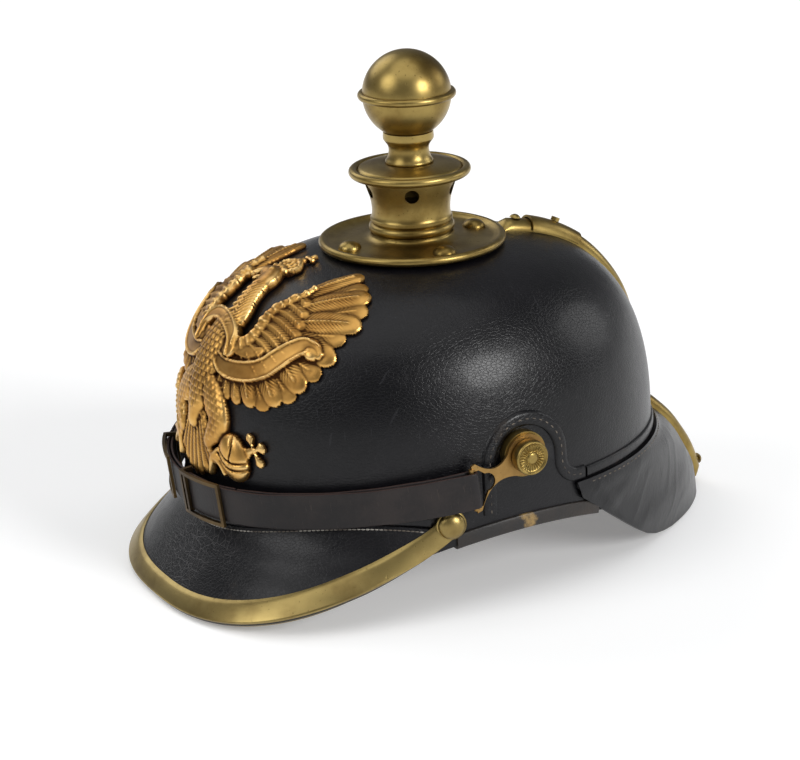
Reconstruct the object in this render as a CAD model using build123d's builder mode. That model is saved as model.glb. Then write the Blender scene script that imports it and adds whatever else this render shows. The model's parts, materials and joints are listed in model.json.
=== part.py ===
"""Leather helmet with a ball finial: skull, visors, brass fittings, eagle front plate, chinstrap and liner.

The helmet's own frame has its origin on the crown axis at the skull's widest level, the front towards -Y and
the wearer's left towards +X. At the end the whole helmet is stood on its two visors.
"""

import os
from math import atan2, cos, degrees, radians, sin, sqrt

from build123d import *

# Skull, in mm
skull_half_length = 111.5
skull_half_width = 93.5
skull_height = 104.6
skull_power = 3.22
skull_wall = 3.0
skull_skirt = 12.0
crown_hole_radius = 14.0
ear_edge_radius = 160.0
ear_edge_top = -3.2
ear_edge_y = 7.0

# Fits and overruns
seat_gap = 0.05
running_gap = 0.3
overrun = 20.0
half_span = skull_half_width + 2 * overrun
outline_turns = range(0, 91, 9)
lean_steps = 5
half_oval_turns = range(0, 181, 15)

# Front visor: a flared shell, cut to its rim in side view
visor_thickness = 2.6
front_reach = 24.7
front_side_reach = 24.5
front_top_z = 1.0
front_drop = 38.2
front_slope_share = 1.3
front_rim_start_y = -27.0
front_rim_start_z = 4.0
front_rim_run = 109.2
front_rim_drop = 41.2
front_rim_power = 0.62
front_seam_high_z = 5.0
front_seam_high_y = -72.0
front_seam_low_z = -4.0
# Each row: share of the drop, share of the reach, share of the side reach, roundness power
front_section_shares = (
    (-0.12, -0.10, 0.08, 2.0),
    (0.12, 0.01, 0.09, 2.15),
    (0.35, 0.243, 0.14, 2.35),
    (0.60, 0.534, 0.32, 2.48),
    (0.85, 0.826, 0.68, 2.5),
    (1.15, 1.18, 1.30, 2.5),
)
front_rim_shares = (0.03, 0.08, 0.17, 0.3, 0.48, 0.72, 1.0, 1.1)

# Brass trim on the front visor
trim_width = 9.5
trim_sheet = 1.0
trim_narrow_share = 0.2
trim_end_radius = 6.8
trim_stud_radius = 6.1
trim_stud_rise = 3.8
trim_stud_y = -33.0
trim_stud_z = 3.8
rivet_radius = 1.5

# Rear visor
rear_reach = 36.5
rear_side_reach = 2.0
rear_drop = 54.0
rear_top_z = 12.0
rear_seam_z = 10.2
rear_edge_top_y = 31.0
rear_edge_low_y = 32.5
rear_edge_low_z = 3.2
rear_corner_y = 82.0
rear_corner_z = -34.0
rear_bend_y = 106.0
rear_bend_z = -40.6
rear_rim_z = -42.0
rear_section_shares = (
    (0.0, 0.055, 1.0, 2.0),
    (0.09, 0.123, 1.0, 2.0),
    (0.222, 0.384, 1.0, 1.85),
    (0.444, 0.658, 0.75, 1.7),
    (0.722, 0.89, 0.25, 1.6),
    (1.0, 1.0, -0.75, 1.5),
    (1.15, 1.02, -1.0, 1.5),
)

# Sewn leather strips on the skull
welt_width = 5.5
welt_thickness = 1.0
ear_welt_width = 6.5
ear_welt_thickness = 1.3
ear_arch_radius = 18.3
ear_arch_y = 4.5
ear_arch_z = 27.0
ear_leg_low_z = 5.0
ear_tail_radius = 10.0
binding_thickness = 1.2
binding_width = 5.5
binding_front_y = -29.5
binding_rear_y = 44.0

# Crown: base plate, neck and cap, heights above the base plate's underside
plate_radius = 42.5
plate_roll = 2.0
plate_roll_z = 1.2
plate_sheet = 0.9
plate_stud_circle = 31.5
plate_stud_radius = 5.3
plate_stud_rise = 3.4
plate_stud_count = 4
cove_radius = 18.6
cove_foot_radius = 24.0
cove_top_z = 4.6
neck_sheet = 1.1
neck_groove_radius = 18.0
neck_bead_radius = 19.4
neck_bead_z = 8.4
neck_lip_radius = 18.6
neck_lip_z = 11.8
neck_waist_radius = 17.7
neck_waist_z = 15.7
neck_top_radius = 21.6
neck_top_z = 31.0
vent_hole_radius = 3.3
vent_hole_z = 25.4
vent_hole_count = 5
vent_hole_turn = -25.0
cap_radius = 27.6
cap_roll = 2.0
cap_z = 33.1
cap_sheet = 1.0
cap_dome_radius = 23.0
cap_dome_top_z = 36.6
nut_half = 3.2
nut_height = 2.6
nut_round = 0.6

# Ball
foot_base_radius = 10.8
foot_waist_radius = 9.2
foot_waist_z = 43.4
foot_lip_radius = 11.4
foot_lip_z = 47.6
ball_radius = 20.0
ball_centre_z = 68.0
ball_sheet = 1.0
ring_radius = 22.1
ring_roll = 1.7
spindle_radius = 4.0
socket_radius = 9.0
socket_height = 9.0

# Rear spine and its vent slider
spine_width = 11.0
spine_rise = 5.0
spine_sheet = 1.0
spine_bury = 2.0
spine_start_y = 43.5
spine_mid_y = 70.0
spine_arc_end_y = 96.0
spine_low_y = 110.8
spine_low_z = 46.0
spine_turn_z = 17.0
spine_end_y = 147.0
spine_end_z = -38.0
slider_wall = 1.1
slider_run = 15.5
slider_span = 27.0
slider_lift = 0.9
slider_knob_radius = 2.0
slider_knob_rise = 1.8
vent_slot_length = 14.0
vent_slot_width = 4.0
spine_stud_radius = 2.6
spine_stud_rise = 1.6
spine_stud_shank = 1.0
spine_stud_run = 9.0
spine_stud_inset = 6.0
spine_end_lean_share = 0.15

# Front plate, an eagle in low relief, drawn on a plane that faces forward and up
plate_plane_y = -80.0
plate_plane_z = 70.0
plate_plane_turn = 44.0
plate_half_width = 56.0
plate_half_height = 47.0
plate_gap = 0.4
plate_base_rise = 2.2
plate_high_rise = 4.0
plate_feather_radius = 5.2
plate_small_radius = 3.0
plate_depth = 30.0
plate_screw_radius = 1.4
plate_screw_share = 0.42
plate_nut_radius = 3.6
# Each pair: a feather tip's place as shares of the half width and half height
plate_feather_shares = (
    (0.50, 0.98), (0.66, 0.90), (0.81, 0.76), (0.93, 0.58), (1.0, 0.36), (1.01, 0.14),
    (0.96, -0.06), (0.86, -0.24), (0.72, -0.37), (0.56, -0.42),
)

# Side posts, links and chinstrap
post_y = 2.0
post_z = 31.0
post_seat_radius = 10.2
post_seat_top = 3.2
post_shaft_radius = 3.2
link_sheet = 1.2
link_gap = 0.25
knob_radius = 7.8
knob_height = 5.6
knob_rim = 1.0
knob_recess = 0.9
knob_dome_radius = 2.4
knob_rib_count = 24
knob_rib_width = 0.5
link_eye_radius = 9.4
link_waist_share = 0.52
link_fork_share = 0.92
link_waist_width = 6.6
link_arm_width = 2.6
link_fork_height = 22.0
link_hole_radius = 4.2
link_hole_share = 0.77
strap_bar_radius = 1.2
strap_loop_gap = 0.25
strap_bar_y = -24.0
strap_bar_z = 20.0
strap_front_y = -118.5
strap_front_z = 9.0
strap_height = 16.5
strap_thickness = 1.4
strap_layer_gap = 0.35
strap_front_radius = 86.5
strap_front_half_angle = 44.0
strap_outer_end_angle = -35.0
strap_inner_end_angle = 25.0
strap_joint_angle = 1.0
buckle_length = 30.0
buckle_height = 20.5
buckle_bar = 1.7
buckle_thickness = 1.4
buckle_back_sheet = 0.9
buckle_near_angle = 10.7
buckle_far_angle = -20.3

# Liner
sweatband_thickness = 1.4
sweatband_inset = 3.6
sweatband_hem = 1.8
sweatband_low_z = -8.0
sweatband_top_z = 40.0
liner_thickness = 1.2
liner_low_z = 32.0
liner_top_radius = 40.0
liner_top_z = 84.0
liner_finger_count = 10
liner_slit_width = 9.0
liner_slit_low_z = 48.0

os.makedirs("parts", exist_ok=True)


def skull_outline_point(turn, half_length, height):
    """A point of the skull's side outline, at an angle above its widest level."""
    across = cos(radians(turn))
    upward = sin(radians(turn))
    reach = (across**skull_power + upward**skull_power) ** (-1 / skull_power)
    return half_length * reach * across, height * reach * upward


def skull_height_at(along, across, grow=0.0):
    """Height of the skull's surface over a point of its plan."""
    spread = sqrt((along / (skull_half_length + grow)) ** 2 + (across / (skull_half_width + grow)) ** 2)
    return (skull_height + grow) * (1 - spread**skull_power) ** (1 / skull_power)


def skull_side_at(along, height, grow=0.0):
    """Distance of the skull's surface from the middle plane, at a place in side view."""
    spread = (1 - (max(height, 0) / (skull_height + grow)) ** skull_power) ** (1 / skull_power)
    return (skull_half_width + grow) * sqrt(spread**2 - (along / (skull_half_length + grow)) ** 2)


# Profiles turned about the crown axis start at the front, so their seam lies there
skull_profile_plane = Plane(origin=(0, 0, 0), x_dir=(0, -1, 0), z_dir=(-1, 0, 0))


def skull_form(grow, low):
    """The skull's outer form as a solid, grown on every side and standing on a level."""
    half_length = skull_half_length + grow
    outline = [skull_outline_point(turn, half_length, skull_height + grow) for turn in outline_turns]
    with BuildPart() as form:
        with BuildSketch(skull_profile_plane):
            with BuildLine():
                Spline(*outline, tangents=((0, 1), (-1, 0)))
                Line(outline[-1], (0, low))
                Line((0, low), (half_length, low))
                Line((half_length, low), outline[0])
            make_face()
        revolve(axis=Axis.Z)
        scale(by=((skull_half_width + grow) / half_length, 1, 1))
    return form.part


def visor_form(rows, top, drop, reach, side_reach, end, grow_length, grow_width):
    """A visor's flared form as a solid: half ovals, one below the other, lofted together."""
    with BuildPart() as form:
        for drop_share, reach_share, side_share, power in rows:
            half_length = skull_half_length + reach * reach_share + grow_length
            half_width = skull_half_width + side_reach * side_share + grow_width
            outline = []
            for turn in half_oval_turns:
                across = cos(radians(turn))
                forward = sin(radians(turn))
                size = (abs(across) ** power + forward**power) ** (-1 / power)
                outline.append((half_width * size * across, end * half_length * size * forward))
            with BuildSketch(Plane.XY.offset(top - drop * drop_share)):
                with BuildLine():
                    Spline(*outline, tangents=((0, end), (0, -end)))
                    Line(outline[-1], outline[0])
                make_face()
        loft()
    return form.part


def front_form(grow):
    """The front visor's outer form, grown square to its surface."""
    return visor_form(
        front_section_shares, front_top_z, front_drop, front_reach, front_side_reach, -1,
        grow * front_slope_share, grow,
    )


def rear_form(grow):
    """The rear visor's outer form, grown square to its surface."""
    return visor_form(
        rear_section_shares, rear_top_z, rear_drop, rear_reach, rear_side_reach, 1,
        grow * front_slope_share, grow,
    )


def front_rim_point(share, inset):
    """A point along the front rim in side view, moved from the rim into the visor."""
    run = front_rim_run * share
    y = front_rim_start_y - run
    z = front_rim_start_z - front_rim_drop * share**front_rim_power
    ahead_y = -front_rim_run
    ahead_z = -front_rim_drop * front_rim_power * share ** (front_rim_power - 1)
    size = sqrt(ahead_y**2 + ahead_z**2)
    step = inset * (1 - trim_narrow_share * share)
    return y + step * ahead_z / size, z - step * ahead_y / size


def front_rim_band(low_inset, high_inset):
    """The strip between two lines beside the front rim, across the whole helmet."""
    low = [front_rim_point(share, low_inset) for share in front_rim_shares]
    high = [front_rim_point(share, high_inset) for share in front_rim_shares]
    with BuildPart() as band:
        with BuildSketch(Plane.YZ.offset(-half_span)):
            with BuildLine():
                Spline(*low)
                Line(low[-1], high[-1])
                Spline(*high)
                Line(high[0], low[0])
            make_face()
        extrude(amount=2 * half_span)
    return band.part


def side_disc(y, z, radius):
    """A round rod across the whole helmet, at a place in side view."""
    with BuildPart() as disc:
        with BuildSketch(Plane.YZ.offset(-half_span)):
            with Locations((y, z)):
                Circle(radius)
        extrude(amount=2 * half_span)
    return disc.part


def stud_form(head_radius, head_rise, shank_radius, shank_length):
    """A domed stud with its head's flat on the origin's level and its shank below."""
    with BuildPart() as stud:
        with BuildSketch(Plane.XZ):
            with BuildLine():
                slant = sqrt(0.5)
                round_radius = (head_radius**2 + head_rise**2) / (2 * head_rise)
                mid_r = head_radius * slant
                mid_z = sqrt(round_radius**2 - mid_r**2) - (round_radius - head_rise)
                ThreePointArc((head_radius, 0), (mid_r, mid_z), (0, head_rise))
                Polyline(
                    (0, head_rise), (0, -shank_length), (shank_radius, -shank_length),
                    (shank_radius, 0), (head_radius, 0),
                )
            make_face()
        revolve(axis=Axis.Z)
    return stud.part


def rod(plane, radius, low, high):
    """A round rod along a plane's normal, between two distances from it."""
    with BuildPart() as body:
        with BuildSketch(plane.offset(low)):
            Circle(radius)
        extrude(amount=high - low)
    return body.part


# Places that several pieces share
socket_bore_radius = spindle_radius + seat_gap
sides = {"left": 1, "right": -1}
crown_z = skull_height + seat_gap
trim_stud_lean = atan2(
    -trim_stud_y / skull_half_length**2,
    skull_side_at(trim_stud_y, trim_stud_z) / skull_half_width**2,
)
trim_stud_x = skull_side_at(trim_stud_y, trim_stud_z) + visor_thickness + trim_sheet
trim_shank = visor_thickness + trim_sheet + skull_wall + 2 * rivet_radius
trim_stud_planes = {
    name: Plane(
        origin=(side * trim_stud_x, trim_stud_y, trim_stud_z),
        x_dir=(0, 0, 1),
        z_dir=(side * cos(trim_stud_lean), -sin(trim_stud_lean), 0),
    )
    for name, side in sides.items()
}
trim_stud_holes = [
    rod(plane, rivet_radius + seat_gap, -trim_shank - overrun, trim_stud_rise)
    for plane in trim_stud_planes.values()
]

# Skull: a pressed leather shell, arched up over the ears; its holes are cut at the end
with BuildPart() as skull_shell:
    add(skull_form(0, -skull_skirt))
    add(skull_form(-skull_wall, -skull_skirt - overrun), mode=Mode.SUBTRACT)
    add(side_disc(ear_edge_y, ear_edge_top - ear_edge_radius, ear_edge_radius), mode=Mode.SUBTRACT)
skull_outside = skull_form(seat_gap, -skull_skirt - overrun)

# Front visor, cut in side view between its seam and its rim
front_rim = [front_rim_point(share, 0) for share in front_rim_shares]
seam_points = (
    (-skull_half_length, front_seam_low_z),
    (front_seam_high_y, front_seam_high_z),
    front_rim[0],
)
with BuildPart() as front_visor:
    add(front_form(0))
    add(front_form(-visor_thickness), mode=Mode.SUBTRACT)
    with BuildSketch(Plane.YZ.offset(-half_span)):
        with BuildLine():
            ThreePointArc(*seam_points)
            Spline(*front_rim)
            Polyline(
                front_rim[-1],
                (front_rim[-1][0] - overrun, front_seam_low_z),
                (-skull_half_length, front_seam_low_z),
            )
        make_face()
        with Locations((trim_stud_y, trim_stud_z)):
            Circle(trim_end_radius - trim_sheet)
    extrude(amount=2 * half_span, mode=Mode.INTERSECT)
    add(skull_outside, mode=Mode.SUBTRACT)
    add(trim_stud_holes, mode=Mode.SUBTRACT)

# Brass trim: a channel folded over the rim, with a round end under each stud
with BuildPart() as trim_region:
    add(front_rim_band(-seat_gap - trim_sheet, trim_width))
    add(side_disc(trim_stud_y, trim_stud_z, trim_end_radius))

with BuildPart() as trim_slot_region:
    add(front_rim_band(-seat_gap, trim_width + overrun / 2))
    add(side_disc(trim_stud_y, trim_stud_z, trim_end_radius - trim_sheet + seat_gap))

with BuildPart() as trim_slot:
    add(front_form(seat_gap))
    add(front_form(-visor_thickness - seat_gap), mode=Mode.SUBTRACT)
    add(trim_slot_region.part, mode=Mode.INTERSECT)

with BuildPart() as front_visor_trim:
    add(front_form(trim_sheet))
    add(front_form(-visor_thickness - trim_sheet), mode=Mode.SUBTRACT)
    add(trim_region.part, mode=Mode.INTERSECT)
    add(skull_outside, mode=Mode.SUBTRACT)
    add(trim_slot.part, mode=Mode.SUBTRACT)
    add(trim_stud_holes, mode=Mode.SUBTRACT)

# Trim studs: domed heads seated on the trim, with shanks through to washers inside the skull
stud_head = stud_form(trim_stud_radius, trim_stud_rise, rivet_radius, trim_sheet)
with BuildPart() as trim_stud_heads:
    for plane in trim_stud_planes.values():
        add(stud_head.moved(plane.offset(-trim_sheet).location))
    add(front_form(trim_sheet + seat_gap), mode=Mode.SUBTRACT)

with BuildPart() as visor_trim_studs:
    add(trim_stud_heads.part)
    for plane in trim_stud_planes.values():
        add(rod(plane, rivet_radius, -trim_shank, trim_sheet))

washer_depth = visor_thickness + trim_sheet + skull_wall + running_gap
with BuildPart() as trim_stud_washers:
    for plane in trim_stud_planes.values():
        add(rod(plane, 2 * rivet_radius, -washer_depth - trim_sheet, -washer_depth))
    add(trim_stud_holes, mode=Mode.SUBTRACT)

# Rear visor, cut in side view to its front edge and its rim
with BuildPart() as rear_visor:
    add(rear_form(0))
    add(rear_form(-visor_thickness), mode=Mode.SUBTRACT)
    with BuildSketch(Plane.YZ.offset(-half_span)):
        with BuildLine():
            rear_end_y = skull_half_length + rear_reach
            Polyline(
                (rear_corner_y, rear_corner_z),
                (rear_edge_low_y, rear_edge_low_z),
                (rear_edge_top_y, rear_seam_z),
                (rear_end_y + overrun, rear_seam_z),
                (rear_end_y + overrun, rear_rim_z),
            )
            Spline(
                (rear_end_y + overrun, rear_rim_z),
                (rear_bend_y, rear_bend_z),
                (rear_corner_y, rear_corner_z),
                tangents=(
                    (-1, 0),
                    (rear_edge_low_y - rear_corner_y, rear_edge_low_z - rear_corner_z),
                ),
            )
        make_face()
    extrude(amount=2 * half_span, mode=Mode.INTERSECT)
    add(skull_outside, mode=Mode.SUBTRACT)


def skull_band(thickness, inner_grow=seat_gap):
    """A skin on the skull, to be cut to a strip."""
    with BuildPart() as band:
        add(skull_form(thickness, -skull_skirt))
        add(skull_form(inner_grow, -skull_skirt - overrun), mode=Mode.SUBTRACT)
    return band.part


# Welts: sewn strips along both visor seams; the front one has its butt joint at the middle
with BuildPart() as front_visor_welt:
    add(skull_band(welt_thickness))
    with BuildSketch(Plane.YZ.offset(-half_span)):
        with BuildLine():
            lower = [(y, z + seat_gap) for y, z in seam_points]
            upper = [(y, z + seat_gap + welt_width) for y, z in seam_points]
            ThreePointArc(*lower)
            Line(lower[-1], upper[-1])
            ThreePointArc(*upper)
            Polyline(
                upper[0],
                (upper[0][0] - overrun, upper[0][1]),
                (lower[0][0] - overrun, lower[0][1]),
                lower[0],
            )
        make_face()
    extrude(amount=2 * half_span, mode=Mode.INTERSECT)
    add(side_disc(trim_stud_y, trim_stud_z, trim_end_radius + seat_gap), mode=Mode.SUBTRACT)
    add(front_rim_band(-trim_sheet - running_gap, trim_width + seat_gap), mode=Mode.SUBTRACT)
    with BuildSketch(Plane.YZ.offset(-seat_gap)):
        Rectangle(4 * skull_half_length, 4 * skull_half_length)
    extrude(amount=2 * seat_gap, mode=Mode.SUBTRACT)

rear_welt_z = rear_seam_z + seat_gap + welt_width / 2
with BuildPart() as rear_visor_welt:
    add(skull_band(welt_thickness))
    with BuildSketch(Plane.YZ.offset(-half_span)):
        with BuildLine():
            Line(
                (rear_edge_top_y + welt_width, rear_welt_z),
                (skull_half_length + overrun, rear_welt_z),
            )
        trace(line_width=welt_width)
    extrude(amount=2 * half_span, mode=Mode.INTERSECT)

# Ear welts: an arch round each side post, running out into the rear welt
with BuildPart() as ear_welts:
    add(skull_band(ear_welt_thickness))
    with BuildSketch(Plane.YZ.offset(-half_span)):
        with BuildLine():
            arch_rear_y = ear_arch_y + ear_arch_radius
            tail_z = rear_seam_z + seat_gap + ear_welt_width / 2
            tail_top_z = tail_z + ear_tail_radius
            Line((ear_arch_y - ear_arch_radius, ear_leg_low_z), (ear_arch_y - ear_arch_radius, ear_arch_z))
            ThreePointArc(
                (ear_arch_y - ear_arch_radius, ear_arch_z),
                (ear_arch_y, ear_arch_z + ear_arch_radius),
                (arch_rear_y, ear_arch_z),
            )
            Line((arch_rear_y, ear_arch_z), (arch_rear_y, tail_top_z))
            tail = (1 - sqrt(0.5)) * ear_tail_radius
            ThreePointArc(
                (arch_rear_y, tail_top_z),
                (arch_rear_y + tail, tail_z + tail),
                (arch_rear_y + ear_tail_radius, tail_z),
            )
            Line(
                (arch_rear_y + ear_tail_radius, tail_z),
                (rear_edge_top_y + welt_width - running_gap, tail_z),
            )
        trace(line_width=ear_welt_width)
    extrude(amount=2 * half_span, mode=Mode.INTERSECT)

# Edge bindings: folded strips over the skull's edge at each ear
with BuildPart() as edge_bindings:
    add(skull_form(binding_thickness, -skull_skirt))
    add(skull_form(-skull_wall - binding_thickness, -skull_skirt - overrun), mode=Mode.SUBTRACT)
    with BuildSketch(Plane.YZ.offset(-half_span)):
        with Locations((ear_edge_y, ear_edge_top - ear_edge_radius)):
            Circle(ear_edge_radius + binding_width)
            Circle(ear_edge_radius - binding_thickness, mode=Mode.SUBTRACT)
        with Locations(((binding_front_y + binding_rear_y) / 2, 0)):
            Rectangle(binding_rear_y - binding_front_y, 2 * half_span, mode=Mode.INTERSECT)
    extrude(amount=2 * half_span, mode=Mode.INTERSECT)
    add(skull_shell.part, mode=Mode.SUBTRACT)
    add(rear_visor.part, mode=Mode.SUBTRACT)
    add(side_disc(trim_stud_y, trim_stud_z, trim_end_radius + seat_gap), mode=Mode.SUBTRACT)

# Base plate: a disc with a rolled rim and a cove rising to the neck
with BuildPart() as base_plate:
    with BuildSketch(Plane.XZ):
        with BuildLine():
            cove_slant_r = cove_radius + (cove_foot_radius - cove_radius) * (1 - sqrt(0.5))
            cove_slant_z = cove_top_z - (cove_top_z - plate_sheet) * sqrt(0.5)
            ThreePointArc(
                (cove_radius, crown_z + cove_top_z),
                (cove_slant_r, crown_z + cove_slant_z),
                (cove_foot_radius, crown_z + plate_sheet),
            )
            Polyline(
                (cove_foot_radius, crown_z + plate_sheet),
                (plate_radius - plate_roll, crown_z + plate_sheet),
                (plate_radius - plate_roll, crown_z),
                (cove_foot_radius - plate_sheet, crown_z),
            )
            ThreePointArc(
                (cove_foot_radius - plate_sheet, crown_z),
                (cove_slant_r - plate_sheet, crown_z + cove_slant_z - plate_sheet),
                (cove_radius - 2 * plate_sheet, crown_z + cove_top_z),
            )
            Line(
                (cove_radius - 2 * plate_sheet, crown_z + cove_top_z),
                (cove_radius, crown_z + cove_top_z),
            )
        make_face()
        with Locations((plate_radius - plate_roll, crown_z + plate_roll_z)):
            Circle(plate_roll)
    revolve(axis=Axis.Z)
    with BuildSketch(Plane.XY.offset(crown_z - plate_roll)):
        with PolarLocations(plate_stud_circle, plate_stud_count):
            Circle(rivet_radius + seat_gap)
    extrude(amount=2 * cove_top_z, mode=Mode.SUBTRACT)

# Base plate studs, with nuts under the skull
plate_stud_drop = crown_z - skull_height_at(plate_stud_circle, 0, -skull_wall) + nut_height + plate_sheet
plate_nut_top = skull_height_at(0, plate_stud_circle + nut_half, -skull_wall) - seat_gap
plate_stud = stud_form(plate_stud_radius, plate_stud_rise, rivet_radius, plate_stud_drop + plate_sheet)
with BuildPart() as base_plate_studs:
    with PolarLocations(plate_stud_circle, plate_stud_count):
        add(plate_stud.moved(Location((0, 0, crown_z + plate_sheet + seat_gap))))

with BuildPart() as base_plate_nuts:
    with BuildSketch(Plane.XY.offset(plate_nut_top - nut_height)):
        with PolarLocations(plate_stud_circle, plate_stud_count):
            RectangleRounded(2 * nut_half, 2 * nut_half, nut_round)
            Circle(rivet_radius + seat_gap, mode=Mode.SUBTRACT)
    extrude(amount=nut_height)

# Neck: a flared tube with a bead, a lip and round vent holes
neck_foot_z = crown_z + cove_top_z + seat_gap
with BuildPart() as neck:
    with BuildSketch(Plane.XZ):
        with BuildLine():
            neck_bead_height = neck_bead_z - cove_top_z
            Line((neck_groove_radius, neck_foot_z), (neck_groove_radius, neck_foot_z + neck_sheet / 2))
            ThreePointArc(
                (neck_groove_radius, neck_foot_z + neck_sheet / 2),
                (neck_bead_radius, crown_z + neck_bead_z - neck_sheet),
                (neck_groove_radius, crown_z + neck_lip_z - 2 * neck_sheet),
            )
            Polyline(
                (neck_groove_radius, crown_z + neck_lip_z - 2 * neck_sheet),
                (neck_lip_radius, crown_z + neck_lip_z - neck_sheet),
                (neck_lip_radius, crown_z + neck_lip_z),
            )
            Spline(
                (neck_lip_radius, crown_z + neck_lip_z),
                (neck_waist_radius, crown_z + neck_waist_z),
                (neck_top_radius, crown_z + neck_top_z),
                tangents=((-1, 1), (0.3, 1)),
            )
            Polyline(
                (neck_top_radius, crown_z + neck_top_z),
                (neck_top_radius - neck_sheet, crown_z + neck_top_z),
                (neck_waist_radius - neck_sheet, crown_z + neck_waist_z),
                (neck_waist_radius - neck_sheet, neck_foot_z),
                (neck_groove_radius, neck_foot_z),
            )
        make_face()
    revolve(axis=Axis.Z)
    for number in range(vent_hole_count):
        turn = vent_hole_turn + 360 / vent_hole_count * number
        facing = (cos(radians(turn)), sin(radians(turn)), 0)
        with BuildSketch(Plane(origin=(0, 0, crown_z + vent_hole_z), z_dir=facing)):
            Circle(vent_hole_radius)
        extrude(amount=neck_top_radius + overrun, mode=Mode.SUBTRACT)

# Neck cap: a rolled disc with a low dome under the ball's foot
cap_base_z = crown_z + cap_z - cap_roll
with BuildPart() as neck_cap:
    with BuildSketch(Plane.XZ):
        with BuildLine():
            cap_rim = cap_radius - cap_roll
            Polyline(
                (socket_bore_radius, crown_z + cap_dome_top_z),
                (foot_base_radius, crown_z + cap_dome_top_z),
            )
            ThreePointArc(
                (foot_base_radius, crown_z + cap_dome_top_z),
                ((foot_base_radius + cap_dome_radius) / 2, crown_z + cap_dome_top_z - cap_sheet / 2),
                (cap_dome_radius, crown_z + cap_z),
            )
            Polyline(
                (cap_dome_radius, crown_z + cap_z),
                (cap_dome_radius, cap_base_z + cap_sheet),
                (cap_rim, cap_base_z + cap_sheet),
                (cap_rim, cap_base_z),
                (neck_waist_radius, cap_base_z),
                (foot_base_radius, crown_z + cap_dome_top_z - cap_sheet),
                (socket_bore_radius, crown_z + cap_dome_top_z - cap_sheet),
                (socket_bore_radius, crown_z + cap_dome_top_z),
            )
        make_face()
        with Locations((cap_rim, crown_z + cap_z)):
            Circle(cap_roll)
    revolve(axis=Axis.Z)

with BuildPart() as neck_socket:
    with BuildSketch(Plane.XY.offset(crown_z + cap_dome_top_z - cap_sheet - seat_gap - socket_height)):
        Circle(socket_radius)
        Circle(socket_bore_radius, mode=Mode.SUBTRACT)
    extrude(amount=socket_height)

# Ball: a turned foot with its spindle, two pressed halves and a seam ring
foot_z = crown_z + cap_dome_top_z + seat_gap
ball_z = crown_z + ball_centre_z
foot_seat_z = ball_z - sqrt(ball_radius**2 - foot_lip_radius**2)
spindle_low_z = foot_z - socket_height - 2 * cap_sheet
with BuildPart() as ball_foot:
    with BuildSketch(Plane.XZ):
        with BuildLine():
            Polyline(
                (0, spindle_low_z), (spindle_radius, spindle_low_z), (spindle_radius, foot_z),
                (foot_base_radius, foot_z), (foot_base_radius, foot_z + cap_sheet),
            )
            Spline(
                (foot_base_radius, foot_z + cap_sheet),
                (foot_waist_radius, crown_z + foot_waist_z),
                (foot_lip_radius, crown_z + foot_lip_z),
                tangents=((-1, 1), (1, 1)),
            )
            Polyline(
                (foot_lip_radius, crown_z + foot_lip_z), (foot_lip_radius, foot_seat_z),
                (0, foot_seat_z), (0, spindle_low_z),
            )
        make_face()
    revolve(axis=Axis.Z)
    with Locations((0, 0, ball_z)):
        Sphere(ball_radius + seat_gap, mode=Mode.SUBTRACT)


def ball_half(turn_from, turn_to):
    """Half of the hollow ball, between two angles above its middle."""
    with BuildPart() as half:
        with BuildSketch(Plane.XZ):
            with BuildLine():
                for radius in (ball_radius, ball_radius - ball_sheet):
                    CenterArc((0, ball_z), radius, turn_from, turn_to - turn_from)
                for turn in (turn_from, turn_to):
                    Line(
                        (ball_radius * cos(radians(turn)), ball_z + ball_radius * sin(radians(turn))),
                        (
                            (ball_radius - ball_sheet) * cos(radians(turn)),
                            ball_z + (ball_radius - ball_sheet) * sin(radians(turn)),
                        ),
                    )
            make_face()
        revolve(axis=Axis.Z)
    return half.part


with BuildPart() as ball_lower:
    add(ball_half(-90, 0))

with BuildPart() as ball_upper:
    add(ball_half(degrees(seat_gap / ball_radius), 90))

with BuildPart() as ball_ring:
    with BuildSketch(Plane.XZ):
        with Locations((ring_radius - ring_roll, ball_z)):
            Circle(ring_roll)
    revolve(axis=Axis.Z)
    with Locations((0, 0, ball_z)):
        Sphere(ball_radius + seat_gap, mode=Mode.SUBTRACT)

# Rear spine: a half round channel along the back, on an arc where the vent slider runs
def circle_through(first, second, third):
    """Centre and radius of the circle through three places in side view."""
    (ay, az), (by, bz), (cy, cz) = first, second, third
    turn = 2 * (ay * (bz - cz) + by * (cz - az) + cy * (az - bz))
    a_size, b_size, c_size = ay**2 + az**2, by**2 + bz**2, cy**2 + cz**2
    y = (a_size * (bz - cz) + b_size * (cz - az) + c_size * (az - bz)) / turn
    z = (a_size * (cy - by) + b_size * (ay - cy) + c_size * (by - ay)) / turn
    return (y, z), sqrt((ay - y) ** 2 + (az - z) ** 2)


spine_start = (spine_start_y, skull_height_at(spine_start_y, 0))
spine_middle = (spine_mid_y, skull_height_at(spine_mid_y, 0))
spine_arc_end = (spine_arc_end_y, skull_height_at(spine_arc_end_y, 0))
(spine_centre_y, spine_centre_z), spine_radius = circle_through(spine_start, spine_middle, spine_arc_end)
spine_start_turn = degrees(atan2(spine_start[1] - spine_centre_z, spine_start[0] - spine_centre_y))


def spine_outline(grow, foot):
    """Draw the spine's half round outline, grown, with straight feet below the surface."""
    half_width = spine_width / 2 + grow
    ThreePointArc(
        (-half_width, 0), (-half_width * sqrt(0.5), (spine_rise + grow) * sqrt(0.5)), (0, spine_rise + grow)
    )
    ThreePointArc(
        (0, spine_rise + grow), (half_width * sqrt(0.5), (spine_rise + grow) * sqrt(0.5)), (half_width, 0)
    )
    Polyline((half_width, 0), (half_width, -foot), (-half_width, -foot), (-half_width, 0))


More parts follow.
